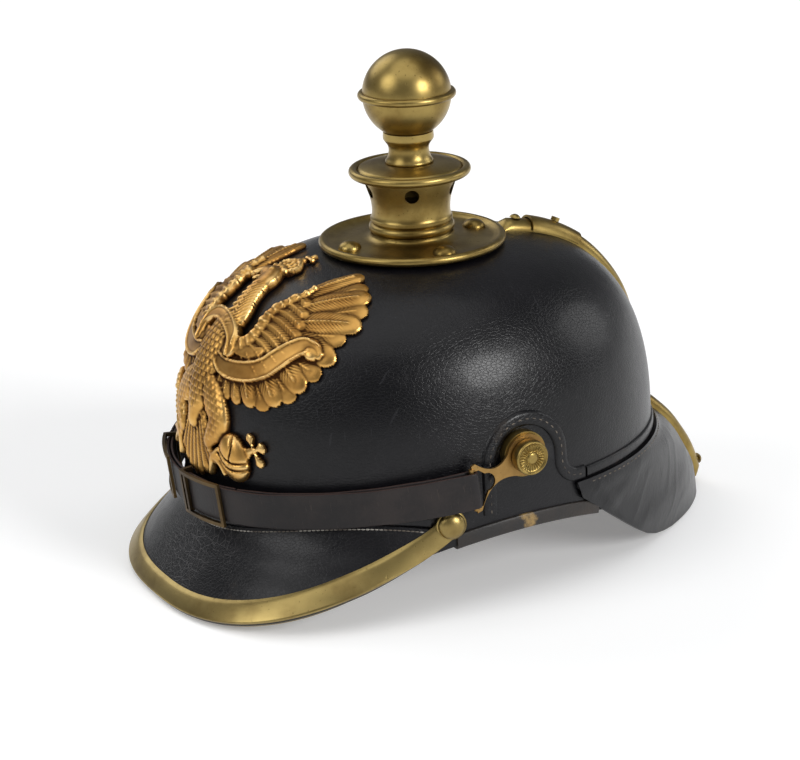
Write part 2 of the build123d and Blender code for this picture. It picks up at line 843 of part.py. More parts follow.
with BuildLine(Plane.YZ) as spine_path:
    ThreePointArc(spine_start, spine_middle, spine_arc_end)
    Spline(
        spine_arc_end,
        (spine_low_y, spine_low_z),
        (skull_half_length + seat_gap, spine_turn_z),
        *[
            (skull_half_length + rear_reach * reach_share, rear_top_z - rear_drop * drop_share)
            for drop_share, reach_share, side_share, power in rear_section_shares[2:5]
        ],
        (spine_end_y, spine_end_z),
        tangents=(
            (spine_arc_end[1] - spine_centre_z, spine_centre_y - spine_arc_end[0]),
            (spine_end_y - skull_half_length, -rear_drop),
        ),
    )



def spine_arc_plane(run):
    """The plane across the spine, at a distance along its arc from its start."""
    turn = radians(spine_start_turn) - run / spine_radius
    return Plane(
        origin=(
            0,
            spine_centre_y + spine_radius * cos(turn),
            spine_centre_z + spine_radius * sin(turn),
        ),
        x_dir=(1, 0, 0),
        z_dir=(0, -sin(turn), cos(turn)),
    )


def spine_top_plane(run):
    """The plane on the spine's base line, facing out, at a distance along its arc."""
    across = spine_arc_plane(run)
    return Plane(origin=across.origin, x_dir=(1, 0, 0), z_dir=across.y_dir)


spine_end_plane = Plane(
    origin=(0, spine_end_y, spine_end_z + spine_stud_inset),
    x_dir=(1, 0, 0),
    z_dir=(0, 1, spine_end_lean_share),
)
spine_stud_planes = (spine_top_plane(spine_stud_run), spine_end_plane)
spine_stud_holes = [
    rod(plane, spine_stud_shank + seat_gap, -2 * skull_wall, overrun) for plane in spine_stud_planes
]
slider_middle_plane = spine_top_plane(slider_run + slider_span / 2)
with BuildPart() as vent_slot_form:
    with BuildSketch(slider_middle_plane.offset(-2 * skull_wall)):
        SlotOverall(vent_slot_length, vent_slot_width, rotation=90)
    extrude(amount=2 * skull_wall + 2 * spine_rise)
vent_slot = vent_slot_form.part

with BuildPart() as rear_spine:
    with BuildSketch(spine_arc_plane(0)):
        with BuildLine():
            spine_outline(0, spine_bury)
        make_face()
        with BuildLine():
            spine_outline(-spine_sheet, spine_bury)
        make_face(mode=Mode.SUBTRACT)
    sweep(path=spine_path.wires()[0])
    add(skull_outside, mode=Mode.SUBTRACT)
    add(rear_visor_welt.part, mode=Mode.SUBTRACT)
    add(rear_form(seat_gap), mode=Mode.SUBTRACT)
    add(vent_slot, mode=Mode.SUBTRACT)
    add(spine_stud_holes, mode=Mode.SUBTRACT)

with BuildPart() as vent_slider:
    with BuildSketch(spine_arc_plane(slider_run)):
        with BuildLine():
            spine_outline(running_gap + slider_wall, spine_bury)
        make_face()
        with BuildLine():
            spine_outline(running_gap, spine_bury)
        make_face(mode=Mode.SUBTRACT)
    revolve(
        axis=Axis((0, spine_centre_y, spine_centre_z), (-1, 0, 0)),
        revolution_arc=degrees(slider_span / spine_radius),
    )
    add(skull_form(slider_lift, -skull_skirt), mode=Mode.SUBTRACT)

slider_top = spine_rise + running_gap + slider_wall
with BuildPart() as slider_knob:
    with BuildSketch(slider_middle_plane.offset(slider_top + seat_gap)):
        Circle(slider_knob_radius)
    extrude(amount=slider_knob_rise)

# Spine studs, through the channel into the skull and the rear visor
spine_stud = stud_form(spine_stud_radius, spine_stud_rise, spine_stud_shank, spine_rise + 2 * skull_wall)
with BuildPart() as spine_studs:
    for plane in spine_stud_planes:
        add(spine_stud.moved(plane.offset(spine_rise - seat_gap).location))
    add(rear_spine.part, mode=Mode.SUBTRACT)

with BuildPart() as rear_visor_drilled:
    add(rear_visor.part)
    add(spine_stud_holes, mode=Mode.SUBTRACT)

# Front plate: an eagle cut from two skins of the skull's shape
plate_turn = radians(plate_plane_turn)
plate_plane = Plane(
    origin=(0, plate_plane_y, plate_plane_z),
    x_dir=(1, 0, 0),
    z_dir=(0, -cos(plate_turn), sin(plate_turn)),
)


def feather(from_share, to_share, radius):
    """Draw one rounded bar between two places of the front plate."""
    from_point = (from_share[0] * plate_half_width, from_share[1] * plate_half_height)
    to_point = (to_share[0] * plate_half_width, to_share[1] * plate_half_height)
    middle = ((from_point[0] + to_point[0]) / 2, (from_point[1] + to_point[1]) / 2)
    run = (to_point[0] - from_point[0], to_point[1] - from_point[1])
    with Locations(middle):
        SlotOverall(
            sqrt(run[0] ** 2 + run[1] ** 2) + 2 * radius,
            2 * radius,
            rotation=degrees(atan2(run[1], run[0])),
        )


def eagle_body():
    """Draw the parts of the eagle that stand highest: body, neck, head, wing bones and thighs."""
    with Locations((0, -0.12 * plate_half_height)):
        Ellipse(0.22 * plate_half_width, 0.42 * plate_half_height)
    feather((0.0, 0.1), (-0.04, 0.55), plate_feather_radius)
    feather((-0.04, 0.62), (-0.2, 0.6), plate_small_radius)
    for side in sides.values():
        feather((0.1 * side, 0.15), (0.5 * side, 0.5), plate_feather_radius)
        feather((0.12 * side, -0.4), (0.3 * side, -0.66), plate_feather_radius)
    with Locations((0.56 * plate_half_width, -0.88 * plate_half_height)):
        Circle(0.15 * plate_half_width)


with BuildPart() as plate_high:
    add(skull_band(plate_high_rise, plate_gap))
    with BuildSketch(plate_plane.offset(-plate_depth)):
        eagle_body()
    extrude(amount=2 * plate_depth, mode=Mode.INTERSECT)

with BuildPart() as front_plate:
    add(skull_band(plate_base_rise, plate_gap))
    with BuildSketch(plate_plane.offset(-plate_depth)):
        eagle_body()
        for side in sides.values():
            for tip_x_share, tip_y_share in plate_feather_shares:
                feather((0.2 * side, 0.08), (tip_x_share * side, tip_y_share), plate_feather_radius)
            feather((0.3 * side, -0.66), (0.56 * side, -0.88), plate_small_radius)
        for turn_share in (-0.3, -0.15, 0.0, 0.15, 0.3):
            feather((0.0, -0.3), (turn_share, -1.0), plate_small_radius)
        feather((-0.12, 0.72), (-0.17, 0.98), plate_feather_radius)
        feather((-0.62, -0.95), (-0.5, -0.2), plate_small_radius / 2)
        feather((0.66, -0.78), (0.8, -0.66), plate_small_radius)
    extrude(amount=2 * plate_depth, mode=Mode.INTERSECT)
    add(plate_high.part)


def depth_on_skull(plane, x, y, grow=0.0):
    """Distance from a plane to the skull's surface, along the plane's normal."""
    low, high = -2 * plate_depth, 2 * plate_depth
    for _ in range(int(plate_depth)):
        depth = (low + high) / 2
        point = plane.from_local_coords(Vector(x, y, depth))
        spread = sqrt((point.X / (skull_half_width + grow)) ** 2 + (point.Y / (skull_half_length + grow)) ** 2)
        outside = spread**skull_power + abs(point.Z / (skull_height + grow)) ** skull_power > 1
        low, high = (low, depth) if outside else (depth, high)
    return low


# Front plate screws and their nuts inside the skull
plate_screw_x = plate_screw_share * plate_half_width
plate_screw_depth = depth_on_skull(plate_plane, plate_screw_x, 0)
plate_nut_depth = (
    depth_on_skull(plate_plane, plate_screw_x + plate_nut_radius, -plate_nut_radius, -skull_wall) - seat_gap
)
with BuildPart() as front_plate_screws:
    with BuildSketch(plate_plane.offset(plate_screw_depth + plate_base_rise)):
        with Locations((-plate_screw_x, 0), (plate_screw_x, 0)):
            Circle(plate_screw_radius)
    extrude(amount=plate_nut_depth - plate_screw_depth - plate_base_rise - 2 * nut_height)
    add(skull_form(plate_gap - seat_gap, -skull_skirt), mode=Mode.INTERSECT)

with BuildPart() as front_plate_screw_holes:
    with BuildSketch(plate_plane.offset(plate_screw_depth + plate_depth)):
        with Locations((-plate_screw_x, 0), (plate_screw_x, 0)):
            Circle(plate_screw_radius + seat_gap)
    extrude(amount=-2 * plate_depth)

with BuildPart() as front_plate_nuts:
    with BuildSketch(plate_plane.offset(plate_nut_depth)):
        with Locations((-plate_screw_x, 0), (plate_screw_x, 0)):
            Circle(plate_nut_radius)
            Circle(plate_screw_radius + seat_gap, mode=Mode.SUBTRACT)
    extrude(amount=-nut_height)

with BuildPart() as skull:
    add(skull_shell.part)
    add(rod(Plane.XY, crown_hole_radius, skull_height / 2, crown_z + overrun), mode=Mode.SUBTRACT)
    for number in range(plate_stud_count):
        turn = radians(360 / plate_stud_count * number)
        hole_plane = Plane(
            origin=(plate_stud_circle * cos(turn), plate_stud_circle * sin(turn), 0),
            z_dir=(0, 0, 1),
        )
        add(
            rod(hole_plane, rivet_radius + seat_gap, skull_height / 2, crown_z + overrun),
            mode=Mode.SUBTRACT,
        )
    add(side_disc(post_y, post_z, post_shaft_radius + seat_gap), mode=Mode.SUBTRACT)
    add(trim_stud_holes, mode=Mode.SUBTRACT)
    add(vent_slot, mode=Mode.SUBTRACT)
    add(spine_stud_holes, mode=Mode.SUBTRACT)
    add(front_plate_screw_holes.part, mode=Mode.SUBTRACT)

# Side posts: a seat, a fluted head and a nut on each side, on one axis
post_seat_x = skull_half_width + post_seat_top
link_x = post_seat_x + link_gap
knob_x = link_x + link_sheet + link_gap
post_planes = {
    name: Plane(origin=(0, post_y, post_z), x_dir=(0, 1, 0), z_dir=(side, 0, 0))
    for name, side in sides.items()
}
post_inside_x = skull_side_at(post_y, post_z, -skull_wall) - seat_gap
post_parts = {}
for name, plane in post_planes.items():
    with BuildPart() as post_seat:
        add(rod(plane, post_seat_radius, skull_half_width / 2, post_seat_x))
        add(rod(plane, post_shaft_radius + seat_gap, 0, half_span), mode=Mode.SUBTRACT)
        add(skull_outside, mode=Mode.SUBTRACT)
    post_parts[f"side_post_seat_{name}"] = post_seat

    with BuildPart() as post_head:
        add(rod(plane, knob_radius, knob_x, knob_x + knob_height))
        add(
            rod(plane, knob_radius - knob_rim, knob_x + knob_height - knob_recess, half_span),
            mode=Mode.SUBTRACT,
        )
        with BuildSketch(plane.offset(knob_x + knob_height - knob_recess)):
            with PolarLocations((knob_radius - knob_rim + knob_dome_radius) / 2, knob_rib_count):
                Rectangle(knob_radius - knob_rim - knob_dome_radius, knob_rib_width)
        extrude(amount=knob_recess / 2)
        add(
            stud_form(knob_dome_radius, knob_recess, post_shaft_radius / 2, knob_recess).moved(
                plane.offset(knob_x + knob_height - knob_recess / 2).location
            )
        )
        add(rod(plane, post_shaft_radius, post_inside_x - nut_height, knob_x))
    post_parts[f"side_post_{name}"] = post_head

    with BuildPart() as post_nut:
        with BuildSketch(plane.offset(post_inside_x - nut_height)):
            RegularPolygon(2 * post_shaft_radius, 6)
            Circle(post_shaft_radius + seat_gap, mode=Mode.SUBTRACT)
        extrude(amount=nut_height)
    post_parts[f"side_post_nut_{name}"] = post_nut

# Chinstrap: its plane leans down to the front, its front is an arc
strap_lean = atan2(strap_bar_z - strap_front_z, strap_bar_y - strap_front_y)
strap_plane = Plane(
    origin=(0, strap_bar_y, strap_bar_z),
    x_dir=(1, 0, 0),
    z_dir=(0, -sin(strap_lean), cos(strap_lean)),
)
strap_centre_v = (strap_front_y - strap_bar_y) / cos(strap_lean) + strap_front_radius
strap_outer_radius = strap_front_radius - strap_thickness / 2
strap_inner_radius = strap_outer_radius - strap_thickness - strap_layer_gap
strap_loop_radius = strap_bar_radius + strap_loop_gap + strap_thickness / 2
bar_x = link_x + link_sheet / 2


def strap_turn_point(side, radius, turn):
    """A point of the strap plane, on the front arc, at a turn towards one side."""
    return side * radius * sin(radians(turn)), strap_centre_v - radius * cos(radians(turn))


def strap_layer(side, radius, bar_reach, end_turn):
    """One layer of strap, from a turn on the front arc round to one side's bar."""
    arc_end_turn = strap_front_half_angle
    with BuildPart() as layer:
        with BuildSketch(strap_plane):
            with BuildLine():
                ThreePointArc(
                    strap_turn_point(side, radius, end_turn),
                    strap_turn_point(side, radius, (end_turn + arc_end_turn) / 2),
                    strap_turn_point(side, radius, arc_end_turn),
                )
                TangentArc(
                    strap_turn_point(side, radius, arc_end_turn),
                    (side * bar_reach, 0),
                    tangent=(side * cos(radians(arc_end_turn)), sin(radians(arc_end_turn))),
                )
            trace(line_width=strap_thickness)
        extrude(amount=strap_height / 2, both=True)
    return layer.part


def strap_piece(side, outer_turn, inner_turn):
    """A strap with its loop round one side's bar and its two layers."""
    with BuildPart() as strap:
        add(strap_layer(side, strap_outer_radius, bar_x + strap_loop_radius, outer_turn))
        add(strap_layer(side, strap_inner_radius, bar_x - strap_loop_radius, inner_turn))
        with BuildSketch(strap_plane):
            with Locations((side * bar_x, 0)):
                Circle(strap_loop_radius + strap_thickness / 2)
        extrude(amount=strap_height / 2, both=True)
        with BuildSketch(strap_plane):
            with Locations((side * bar_x, 0)):
                Circle(strap_loop_radius - strap_thickness / 2)
        extrude(amount=half_span, both=True, mode=Mode.SUBTRACT)
    return strap


strap_parts = {
    "chinstrap_left": strap_piece(1, strap_outer_end_angle, strap_inner_end_angle + strap_joint_angle),
    "chinstrap_right": strap_piece(-1, -strap_outer_end_angle + strap_joint_angle, -strap_inner_end_angle),
}


# Strap links: a plate round the post, waisted, then forked to carry the strap's bar
link_run_y = strap_bar_y - post_y
link_run_z = strap_bar_z - post_z
link_turn = atan2(-link_run_z, -link_run_y)


def link_point(along, across):
    """A place on the link in side view: a share of the way to the bar, and a distance above it."""
    turn = link_turn + (strap_lean - link_turn) * along
    return (
        post_y + link_run_y * along - across * sin(turn),
        post_z + link_run_z * along + across * cos(turn),
    )


def bar_point(behind, above):
    """A place in side view, measured from the bar along the strap and up its height."""
    return (
        strap_bar_y + behind * cos(strap_lean) - above * sin(strap_lean),
        strap_bar_z + behind * sin(strap_lean) + above * cos(strap_lean),
    )


for name, side in sides.items():
    eye_slant = link_eye_radius * sqrt(0.5)
    link_length = sqrt(link_run_y**2 + link_run_z**2)
    eye_share = eye_slant / link_length
    loop_reach = strap_loop_radius + strap_thickness / 2 + running_gap
    arm = link_fork_height / 2
    waist = link_waist_width / 2
    with BuildPart() as link:
        with BuildSketch(Plane.YZ.offset(side * (link_x + link_sheet / 2))):
            with BuildLine():
                Spline(
                    link_point(eye_share, eye_slant),
                    link_point(link_waist_share, waist),
                    link_point(link_fork_share, arm),
                )
                Polyline(
                    link_point(link_fork_share, arm),
                    link_point(1, arm),
                    link_point(1, -arm),
                    link_point(link_fork_share, -arm),
                )
                Spline(
                    link_point(link_fork_share, -arm),
                    link_point(link_waist_share, -waist),
                    link_point(eye_share, -eye_slant),
                )
                Line(link_point(eye_share, -eye_slant), link_point(eye_share, eye_slant))
            make_face()
            with Locations((post_y, post_z)):
                Circle(link_eye_radius)
                Circle(post_shaft_radius + running_gap, mode=Mode.SUBTRACT)
            with Locations(link_point(link_hole_share, 0)):
                Circle(link_hole_radius, mode=Mode.SUBTRACT)
            with BuildLine():
                slot = arm - link_arm_width
                Polyline(
                    link_point(link_hole_share, link_hole_radius),
                    bar_point(loop_reach, slot),
                    bar_point(-link_eye_radius, slot),
                    bar_point(-link_eye_radius, -slot),
                    bar_point(loop_reach, -slot),
                    link_point(link_hole_share, -link_hole_radius),
                    close=True,
                )
            make_face(mode=Mode.SUBTRACT)
        extrude(amount=link_sheet / 2, both=True)
        with BuildSketch(strap_plane):
            with Locations((side * bar_x, 0)):
                Circle(strap_bar_radius)
        extrude(amount=arm - link_arm_width / 2, both=True)
    strap_parts[f"strap_link_{name}"] = link

# Buckles: a frame over the strap, with rails to a bar behind it


def strap_sector(inner_radius, outer_radius, from_turn, to_turn, half_height):
    """A curved block on the strap's front arc."""
    with BuildPart() as block:
        with BuildSketch(strap_plane):
            with BuildLine():
                for radius in (inner_radius, outer_radius):
                    CenterArc((0, strap_centre_v), radius, from_turn - 90, to_turn - from_turn)
                for turn in (from_turn, to_turn):
                    Line(
                        strap_turn_point(1, inner_radius, turn),
                        strap_turn_point(1, outer_radius, turn),
                    )
            make_face()
        extrude(amount=half_height, both=True)
    return block.part


buckle_front = strap_front_radius + running_gap
buckle_back = strap_inner_radius - strap_thickness / 2 - running_gap
bar_turn = degrees(buckle_bar / buckle_front)
for name, centre in (("near", buckle_near_angle), ("far", buckle_far_angle)):
    half_turn = degrees(buckle_length / 2 / buckle_front)
    low, high = centre - half_turn, centre + half_turn
    frame_half = buckle_height / 2
    window_half = frame_half - buckle_bar
    with BuildPart() as buckle:
        add(strap_sector(buckle_front, buckle_front + buckle_thickness, low, high, frame_half))
        add(
            strap_sector(0, strap_front_radius + overrun, low + 3 * bar_turn, high - bar_turn, window_half),
            mode=Mode.SUBTRACT,
        )
        add(
            strap_sector(0, strap_front_radius + overrun, low + bar_turn, low + 2 * bar_turn, window_half),
            mode=Mode.SUBTRACT,
        )
        add(strap_sector(buckle_back - buckle_back_sheet, buckle_front, low, low + bar_turn, frame_half))
        passage_half = strap_height / 2 + running_gap
        add(
            strap_sector(buckle_back, buckle_front, low - bar_turn, low + 2 * bar_turn, passage_half),
            mode=Mode.SUBTRACT,
        )
    strap_parts[f"buckle_{name}"] = buckle

# Sweatband: an upright leather band inside the skull, with a hem turned out to it at the bottom
band_in = skull_wall + sweatband_inset + sweatband_thickness
with BuildPart() as sweatband:
    for inset, top_z in (
        (skull_wall + sweatband_inset, sweatband_top_z),
        (skull_wall + running_gap, sweatband_low_z + sweatband_hem),
    ):
        with BuildSketch(Plane.XY.offset(sweatband_low_z)):
            Ellipse(skull_half_width - inset, skull_half_length - inset)
            Ellipse(skull_half_width - band_in, skull_half_length - band_in, mode=Mode.SUBTRACT)
        extrude(amount=top_z - sweatband_low_z)
    add(
        side_disc(
            ear_edge_y,
            ear_edge_top - ear_edge_radius,
            ear_edge_radius + binding_width + running_gap,
        ),
        mode=Mode.SUBTRACT,
    )

# Liner: leather fingers that rise from the sweatband round an open crown
liner_half_length = skull_half_length - band_in - running_gap
liner_inner_top = (liner_top_radius - liner_thickness, liner_top_z - liner_thickness)
with BuildPart() as liner_fingers:
    with BuildSketch(skull_profile_plane):
        with BuildLine():
            for radius, top_radius, top_z in (
                (liner_half_length, liner_top_radius, liner_top_z),
                (liner_half_length - liner_thickness, *liner_inner_top),
            ):
                Line((radius, liner_low_z), (radius, sweatband_top_z))
                Spline(
                    (radius, sweatband_top_z),
                    (top_radius, top_z),
                    tangents=((0, 1), (-1, 0.3)),
                )
            Line((liner_half_length, liner_low_z), (liner_half_length - liner_thickness, liner_low_z))
            Line((liner_top_radius, liner_top_z), liner_inner_top)
        make_face()
    revolve(axis=Axis.Z)
    scale(by=((liner_half_length - skull_half_length + skull_half_width) / liner_half_length, 1, 1))
    with BuildSketch(Plane.XY.offset(liner_slit_low_z)):
        with PolarLocations(skull_half_length / 2, liner_finger_count, start_angle=90):
            SlotOverall(skull_half_length, liner_slit_width)
    extrude(amount=liner_top_z, mode=Mode.SUBTRACT)


def side_half(pair, side):
    """The half of a mirrored pair that lies on one side."""
    with BuildPart() as half:
        add(pair)
        split(bisect_by=Plane.YZ, keep=Keep.TOP if side > 0 else Keep.BOTTOM)
    return half


pieces = {
    "skull": skull,
    "front_visor": front_visor,
    "front_visor_trim": front_visor_trim,
    "front_visor_welt": front_visor_welt,
    "visor_trim_studs": visor_trim_studs,
    "visor_trim_washers": trim_stud_washers,
    "rear_visor": rear_visor_drilled,
    "rear_visor_welt": rear_visor_welt,
    "base_plate": base_plate,
    "base_plate_studs": base_plate_studs,
    "base_plate_nuts": base_plate_nuts,
    "neck": neck,
    "neck_cap": neck_cap,
    "neck_socket": neck_socket,
    "ball_foot": ball_foot,
    "ball_lower": ball_lower,
    "ball_upper": ball_upper,
    "ball_ring": ball_ring,
    "rear_spine": rear_spine,
    "rear_spine_studs": spine_studs,
    "vent_slider": vent_slider,
    "vent_slider_knob": slider_knob,
    "front_plate": front_plate,
    "front_plate_screws": front_plate_screws,
    "front_plate_nuts": front_plate_nuts,
    "sweatband": sweatband,
    "liner_fingers": liner_fingers,
    **post_parts,
    **strap_parts,
}
for name, side in sides.items():
    pieces[f"ear_welt_{name}"] = side_half(ear_welts.part, side)
    pieces[f"edge_binding_{name}"] = side_half(edge_bindings.part, side)


def lowest(piece, lean):
    """Height of a piece's lowest point once the helmet is leaned about its side to side axis."""
    return piece.part.rotate(Axis.X, lean).bounding_box().min.Z


# Lean the helmet until the front trim and the rear visor rest on one level
stand_lean = 0.0
for _ in range(lean_steps):
    rise = lowest(front_visor_trim, stand_lean) - lowest(rear_visor, stand_lean)
    stand_lean += degrees(rise / (front_rim_run - front_rim_start_y + rear_bend_y))
leaned = [piece.part.rotate(Axis.X, stand_lean).bounding_box() for piece in pieces.values()]
stand = Location(
    (
        0,
        -(min(box.min.Y for box in leaned) + max(box.max.Y for box in leaned)) / 2,
        -min(box.min.Z for box in leaned),
    ),
    (stand_lean, 0, 0),
)

for name, piece in pieces.items():
    piece.part = piece.part.moved(stand)
    piece.part.label = name
    export_step(piece.part, f"parts/{name}.step")


def report_axis(name, plane):
    """Print a joint's place and direction on the standing helmet."""
    stood = Plane(stand * plane.location)
    print(name, [round(v, 3) for v in stood.origin], [round(v, 5) for v in stood.z_dir])


report_axis("chinstrap_swing", Plane(origin=(0, post_y, post_z), x_dir=(0, 1, 0), z_dir=(1, 0, 0)))
report_axis("buckle", strap_plane.shift_origin(strap_plane.from_local_coords(Vector(0, strap_centre_v, 0))))
report_axis(
    "vent_slider", Plane(origin=(0, spine_centre_y, spine_centre_z), x_dir=(0, 1, 0), z_dir=(1, 0, 0))
)
report_axis("ball", Plane.XY.offset(foot_z))
report_axis("helmet frame", Plane.XY)
print("lean", round(stand_lean, 4))
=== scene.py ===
"""Leather helmet with a ball finial: its looks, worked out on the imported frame.

Every shape is computed in millimetres in the helmet's own frame: origin on the crown axis at the
skull's widest level, front towards -Y, +Z up the crown axis. placed() then carries it to the frame.
"""

import json

import bpy
import numpy as np
from mathutils import Matrix, Vector


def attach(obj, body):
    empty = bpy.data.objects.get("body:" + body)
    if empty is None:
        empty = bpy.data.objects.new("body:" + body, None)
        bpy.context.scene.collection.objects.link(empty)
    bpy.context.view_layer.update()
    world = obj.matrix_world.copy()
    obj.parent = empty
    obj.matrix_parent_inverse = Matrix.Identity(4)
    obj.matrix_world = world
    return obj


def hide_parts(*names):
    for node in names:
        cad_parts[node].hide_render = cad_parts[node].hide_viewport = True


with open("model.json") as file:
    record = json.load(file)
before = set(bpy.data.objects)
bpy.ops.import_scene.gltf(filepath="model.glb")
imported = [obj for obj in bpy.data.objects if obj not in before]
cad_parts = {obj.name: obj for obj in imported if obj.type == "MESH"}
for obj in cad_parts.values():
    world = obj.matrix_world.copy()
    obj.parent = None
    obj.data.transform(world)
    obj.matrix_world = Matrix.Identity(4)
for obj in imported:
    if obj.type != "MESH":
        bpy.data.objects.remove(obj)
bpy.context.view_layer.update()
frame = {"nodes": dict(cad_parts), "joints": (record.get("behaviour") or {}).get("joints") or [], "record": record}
nodes = frame["nodes"]
joints = {joint["name"]: joint for joint in frame["joints"]}
head_opening = next(m for m in frame["record"]["mounts"] if m["name"] == "head_opening")
OPENING_BELOW_BRIM = 0.010
CROWN_UP = np.array(joints["ball_lift"]["axis"], float)
CROWN_UP /= np.linalg.norm(CROWN_UP)
LEFTWARD = np.array([1.0, 0.0, 0.0])
BACKWARD = np.cross(CROWN_UP, LEFTWARD)
BRIM = np.array(head_opening["pos_m"], float) + OPENING_BELOW_BRIM * CROWN_UP

# Sizes that the source of the solids gives, in mm
LENGTH, WIDTH, HEIGHT, POWER = 111.5, 93.5, 104.6, 3.22
WALL, SKIRT, VISOR = 3.0, 12.0, 2.6
CROWN = HEIGHT + 0.05
SEATED, SUNK = 0.05, 0.25
EDGE_ARCH_ALONG, EDGE_ARCH_LEVEL, EDGE_ARCH_RADIUS = 7.0, -163.2, 160.0
RIM_BACK, RIM_TOP, RIM_REACH, RIM_DROP, RIM_POWER = -27.0, 4.0, 109.2, 41.2, 0.62
SEAM_FRONT_LEVEL = -4.0
TRIM_WALL, TRIM_WIDTH = 0.85, 9.5
TRIM_STUD_ALONG, TRIM_STUD_LEVEL, TRIM_STUD_OUT = -33.0, 3.8, 3.6
EAR_ALONG, EAR_LEVEL, EAR_RADIUS, EAR_BEND = 4.5, 27.0, 18.3, 10.0
WELT_WIDTH, WELT_RISE, REAR_SEAM_LEVEL = 5.5, 1.0, 10.2
BALL_RADIUS, BALL_LEVEL = 20.0, 68.0
STUD_CIRCLE = 31.5
POST_ALONG, POST_LEVEL = 2.0, 31.0
STRAP_RISE, STRAP_REACH, STRAP_ALONG, STRAP_LEVEL = 11.0, 94.5, -24.0, 20.0
STRAP_BAR, STRAP_LOOP, STRAP_FRONT = 97.55, 2.15, 86.5
STRAP_OUTER, STRAP_INNER, STRAP_ARC_END = 85.8, 84.05, 44.0
LEAN = np.arctan2(STRAP_RISE, STRAP_REACH)

# Spans of level in which the front seam and the front rim are looked for
SEAM_SPAN, RIM_SPAN = (-12.0, 7.0), (-40.0, 6.0)


def placed(points):
    """Points in the helmet's own frame, in mm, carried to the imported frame, in metres."""
    points = np.asarray(points, float) * 0.001
    return BRIM + points[..., :1] * LEFTWARD + points[..., 1:2] * BACKWARD + points[..., 2:3] * CROWN_UP


def unit(vectors):
    """Each vector divided by its length."""
    return vectors / np.maximum(np.linalg.norm(vectors, axis=-1, keepdims=True), 1e-9)


def full_turn(count):
    """Angles evenly round a whole turn, as one row."""
    return np.linspace(0, 2 * np.pi, count, endpoint=False)[None, :]


def square_to(path):
    """Unit directions square to a flat path, on the left of its run."""
    run = unit(np.gradient(path, axis=0))
    return np.stack([-run[:, 1], run[:, 0]], -1)


def distances(path):
    """The distance along a path to each of its points."""
    return np.concatenate([[0], np.cumsum(np.linalg.norm(np.diff(path, axis=0), axis=1))])


def arc_points(x, y, radius, start, end, count):
    """Places on a circle's arc, from one angle to another, in degrees."""
    turn = np.radians(np.linspace(start, end, count))
    return np.stack([x + radius * np.cos(turn), y + radius * np.sin(turn)], -1)


def outward(points, faces, inside):
    """Faces turned so that their area vectors point away from a place inside, or out of a closed form."""
    a, b, c, d = (points[faces[:, i]] for i in range(4))
    origin = points.mean(0) if inside is None else np.asarray(inside, float)
    facing_out = np.sum(((a + b + c + d) / 4 - origin) * np.cross(c - a, d - b)) > 0
    return faces if facing_out else faces[:, ::-1]


def grid_faces(rows, columns, round_rows, round_columns):
    """Four-sided faces between neighbouring rows and columns of a grid, wrapped where it is closed."""
    r = np.arange(rows if round_rows else rows - 1)
    c = np.arange(columns if round_columns else columns - 1)
    r, c = np.meshgrid(r, c, indexing="ij")
    r2, c2 = (r + 1) % rows, (c + 1) % columns
    corners = [r * columns + c, r * columns + c2, r2 * columns + c2, r2 * columns + c]
    return np.stack(corners, -1).reshape(-1, 4)


class Part:
    """A piece gathered from grids, and made into one smooth mesh."""

    def __init__(self, name, finish, body="helmet", stands_for=(), slot=None):
        self.name, self.finish, self.body = name, finish, body
        self.stands_for, self.slot = stands_for, slot
        self.points, self.faces, self.uvs, self.shades = [], [], [], []
        self.count = 0

    def cells(self, points, faces, uv=None, shade=None):
        """Adds points with their own four-sided faces."""
        self.faces += (faces + self.count).tolist()
        self.points.append(points)
        self.uvs.append(np.zeros((len(points), 2)) if uv is None else uv.reshape(-1, 2))
        self.shades.append(np.full(len(points), 0.5) if shade is None else shade.reshape(-1))
        self.count += len(points)
        return self

    def grid(self, points, round_rows=False, round_columns=False, inside=None, uv=None, shade=None,
             caps=False):
        """Adds a grid of points; caps closes the two ends of its columns with one face each."""
        rows, columns = points.shape[:2]
        flat, start = points.reshape(-1, 3), self.count
        faces = grid_faces(rows, columns, round_rows, round_columns)
        self.cells(flat, outward(flat, faces, inside), uv, shade)
        if caps:
            ends = (np.arange(rows) * columns, np.arange(rows) * columns + columns - 1)
            for end, other in (ends, ends[::-1]):
                middle = flat[end].mean(0)
                normal = np.cross(flat[end] - middle, np.roll(flat[end], -1, 0) - middle).sum(0)
                order = end if normal @ (middle - flat[other].mean(0)) > 0 else end[::-1]
                self.faces.append((order + start).tolist())
        return self

    def make(self, crease=None):
        """The finished object, smooth, at the origin, riding on its body."""
        mesh = bpy.data.meshes.new(self.name)
        mesh.from_pydata(placed(np.concatenate(self.points)), [], self.faces)
        mesh.validate()
        mesh.polygons.foreach_set("use_smooth", np.ones(len(mesh.polygons), bool))
        index = np.zeros(len(mesh.loops), np.int32)
        mesh.loops.foreach_get("vertex_index", index)
        layer = mesh.uv_layers.new(name="along")
        layer.data.foreach_set("uv", np.concatenate(self.uvs)[index].astype(np.float32).ravel())
        shade = mesh.attributes.new("shade", "FLOAT", "POINT")
        shade.data.foreach_set("value", np.concatenate(self.shades).astype(np.float32))
        if crease:
            mesh.set_sharp_from_angle(angle=np.radians(crease))
        mesh.materials.append(self.finish)
        mesh.update()
        piece = bpy.data.objects.new(self.name, mesh)
        bpy.context.scene.collection.objects.link(piece)
        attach(piece, self.body)
        if self.stands_for:
            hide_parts(*self.stands_for)
        return piece


# Shader maths


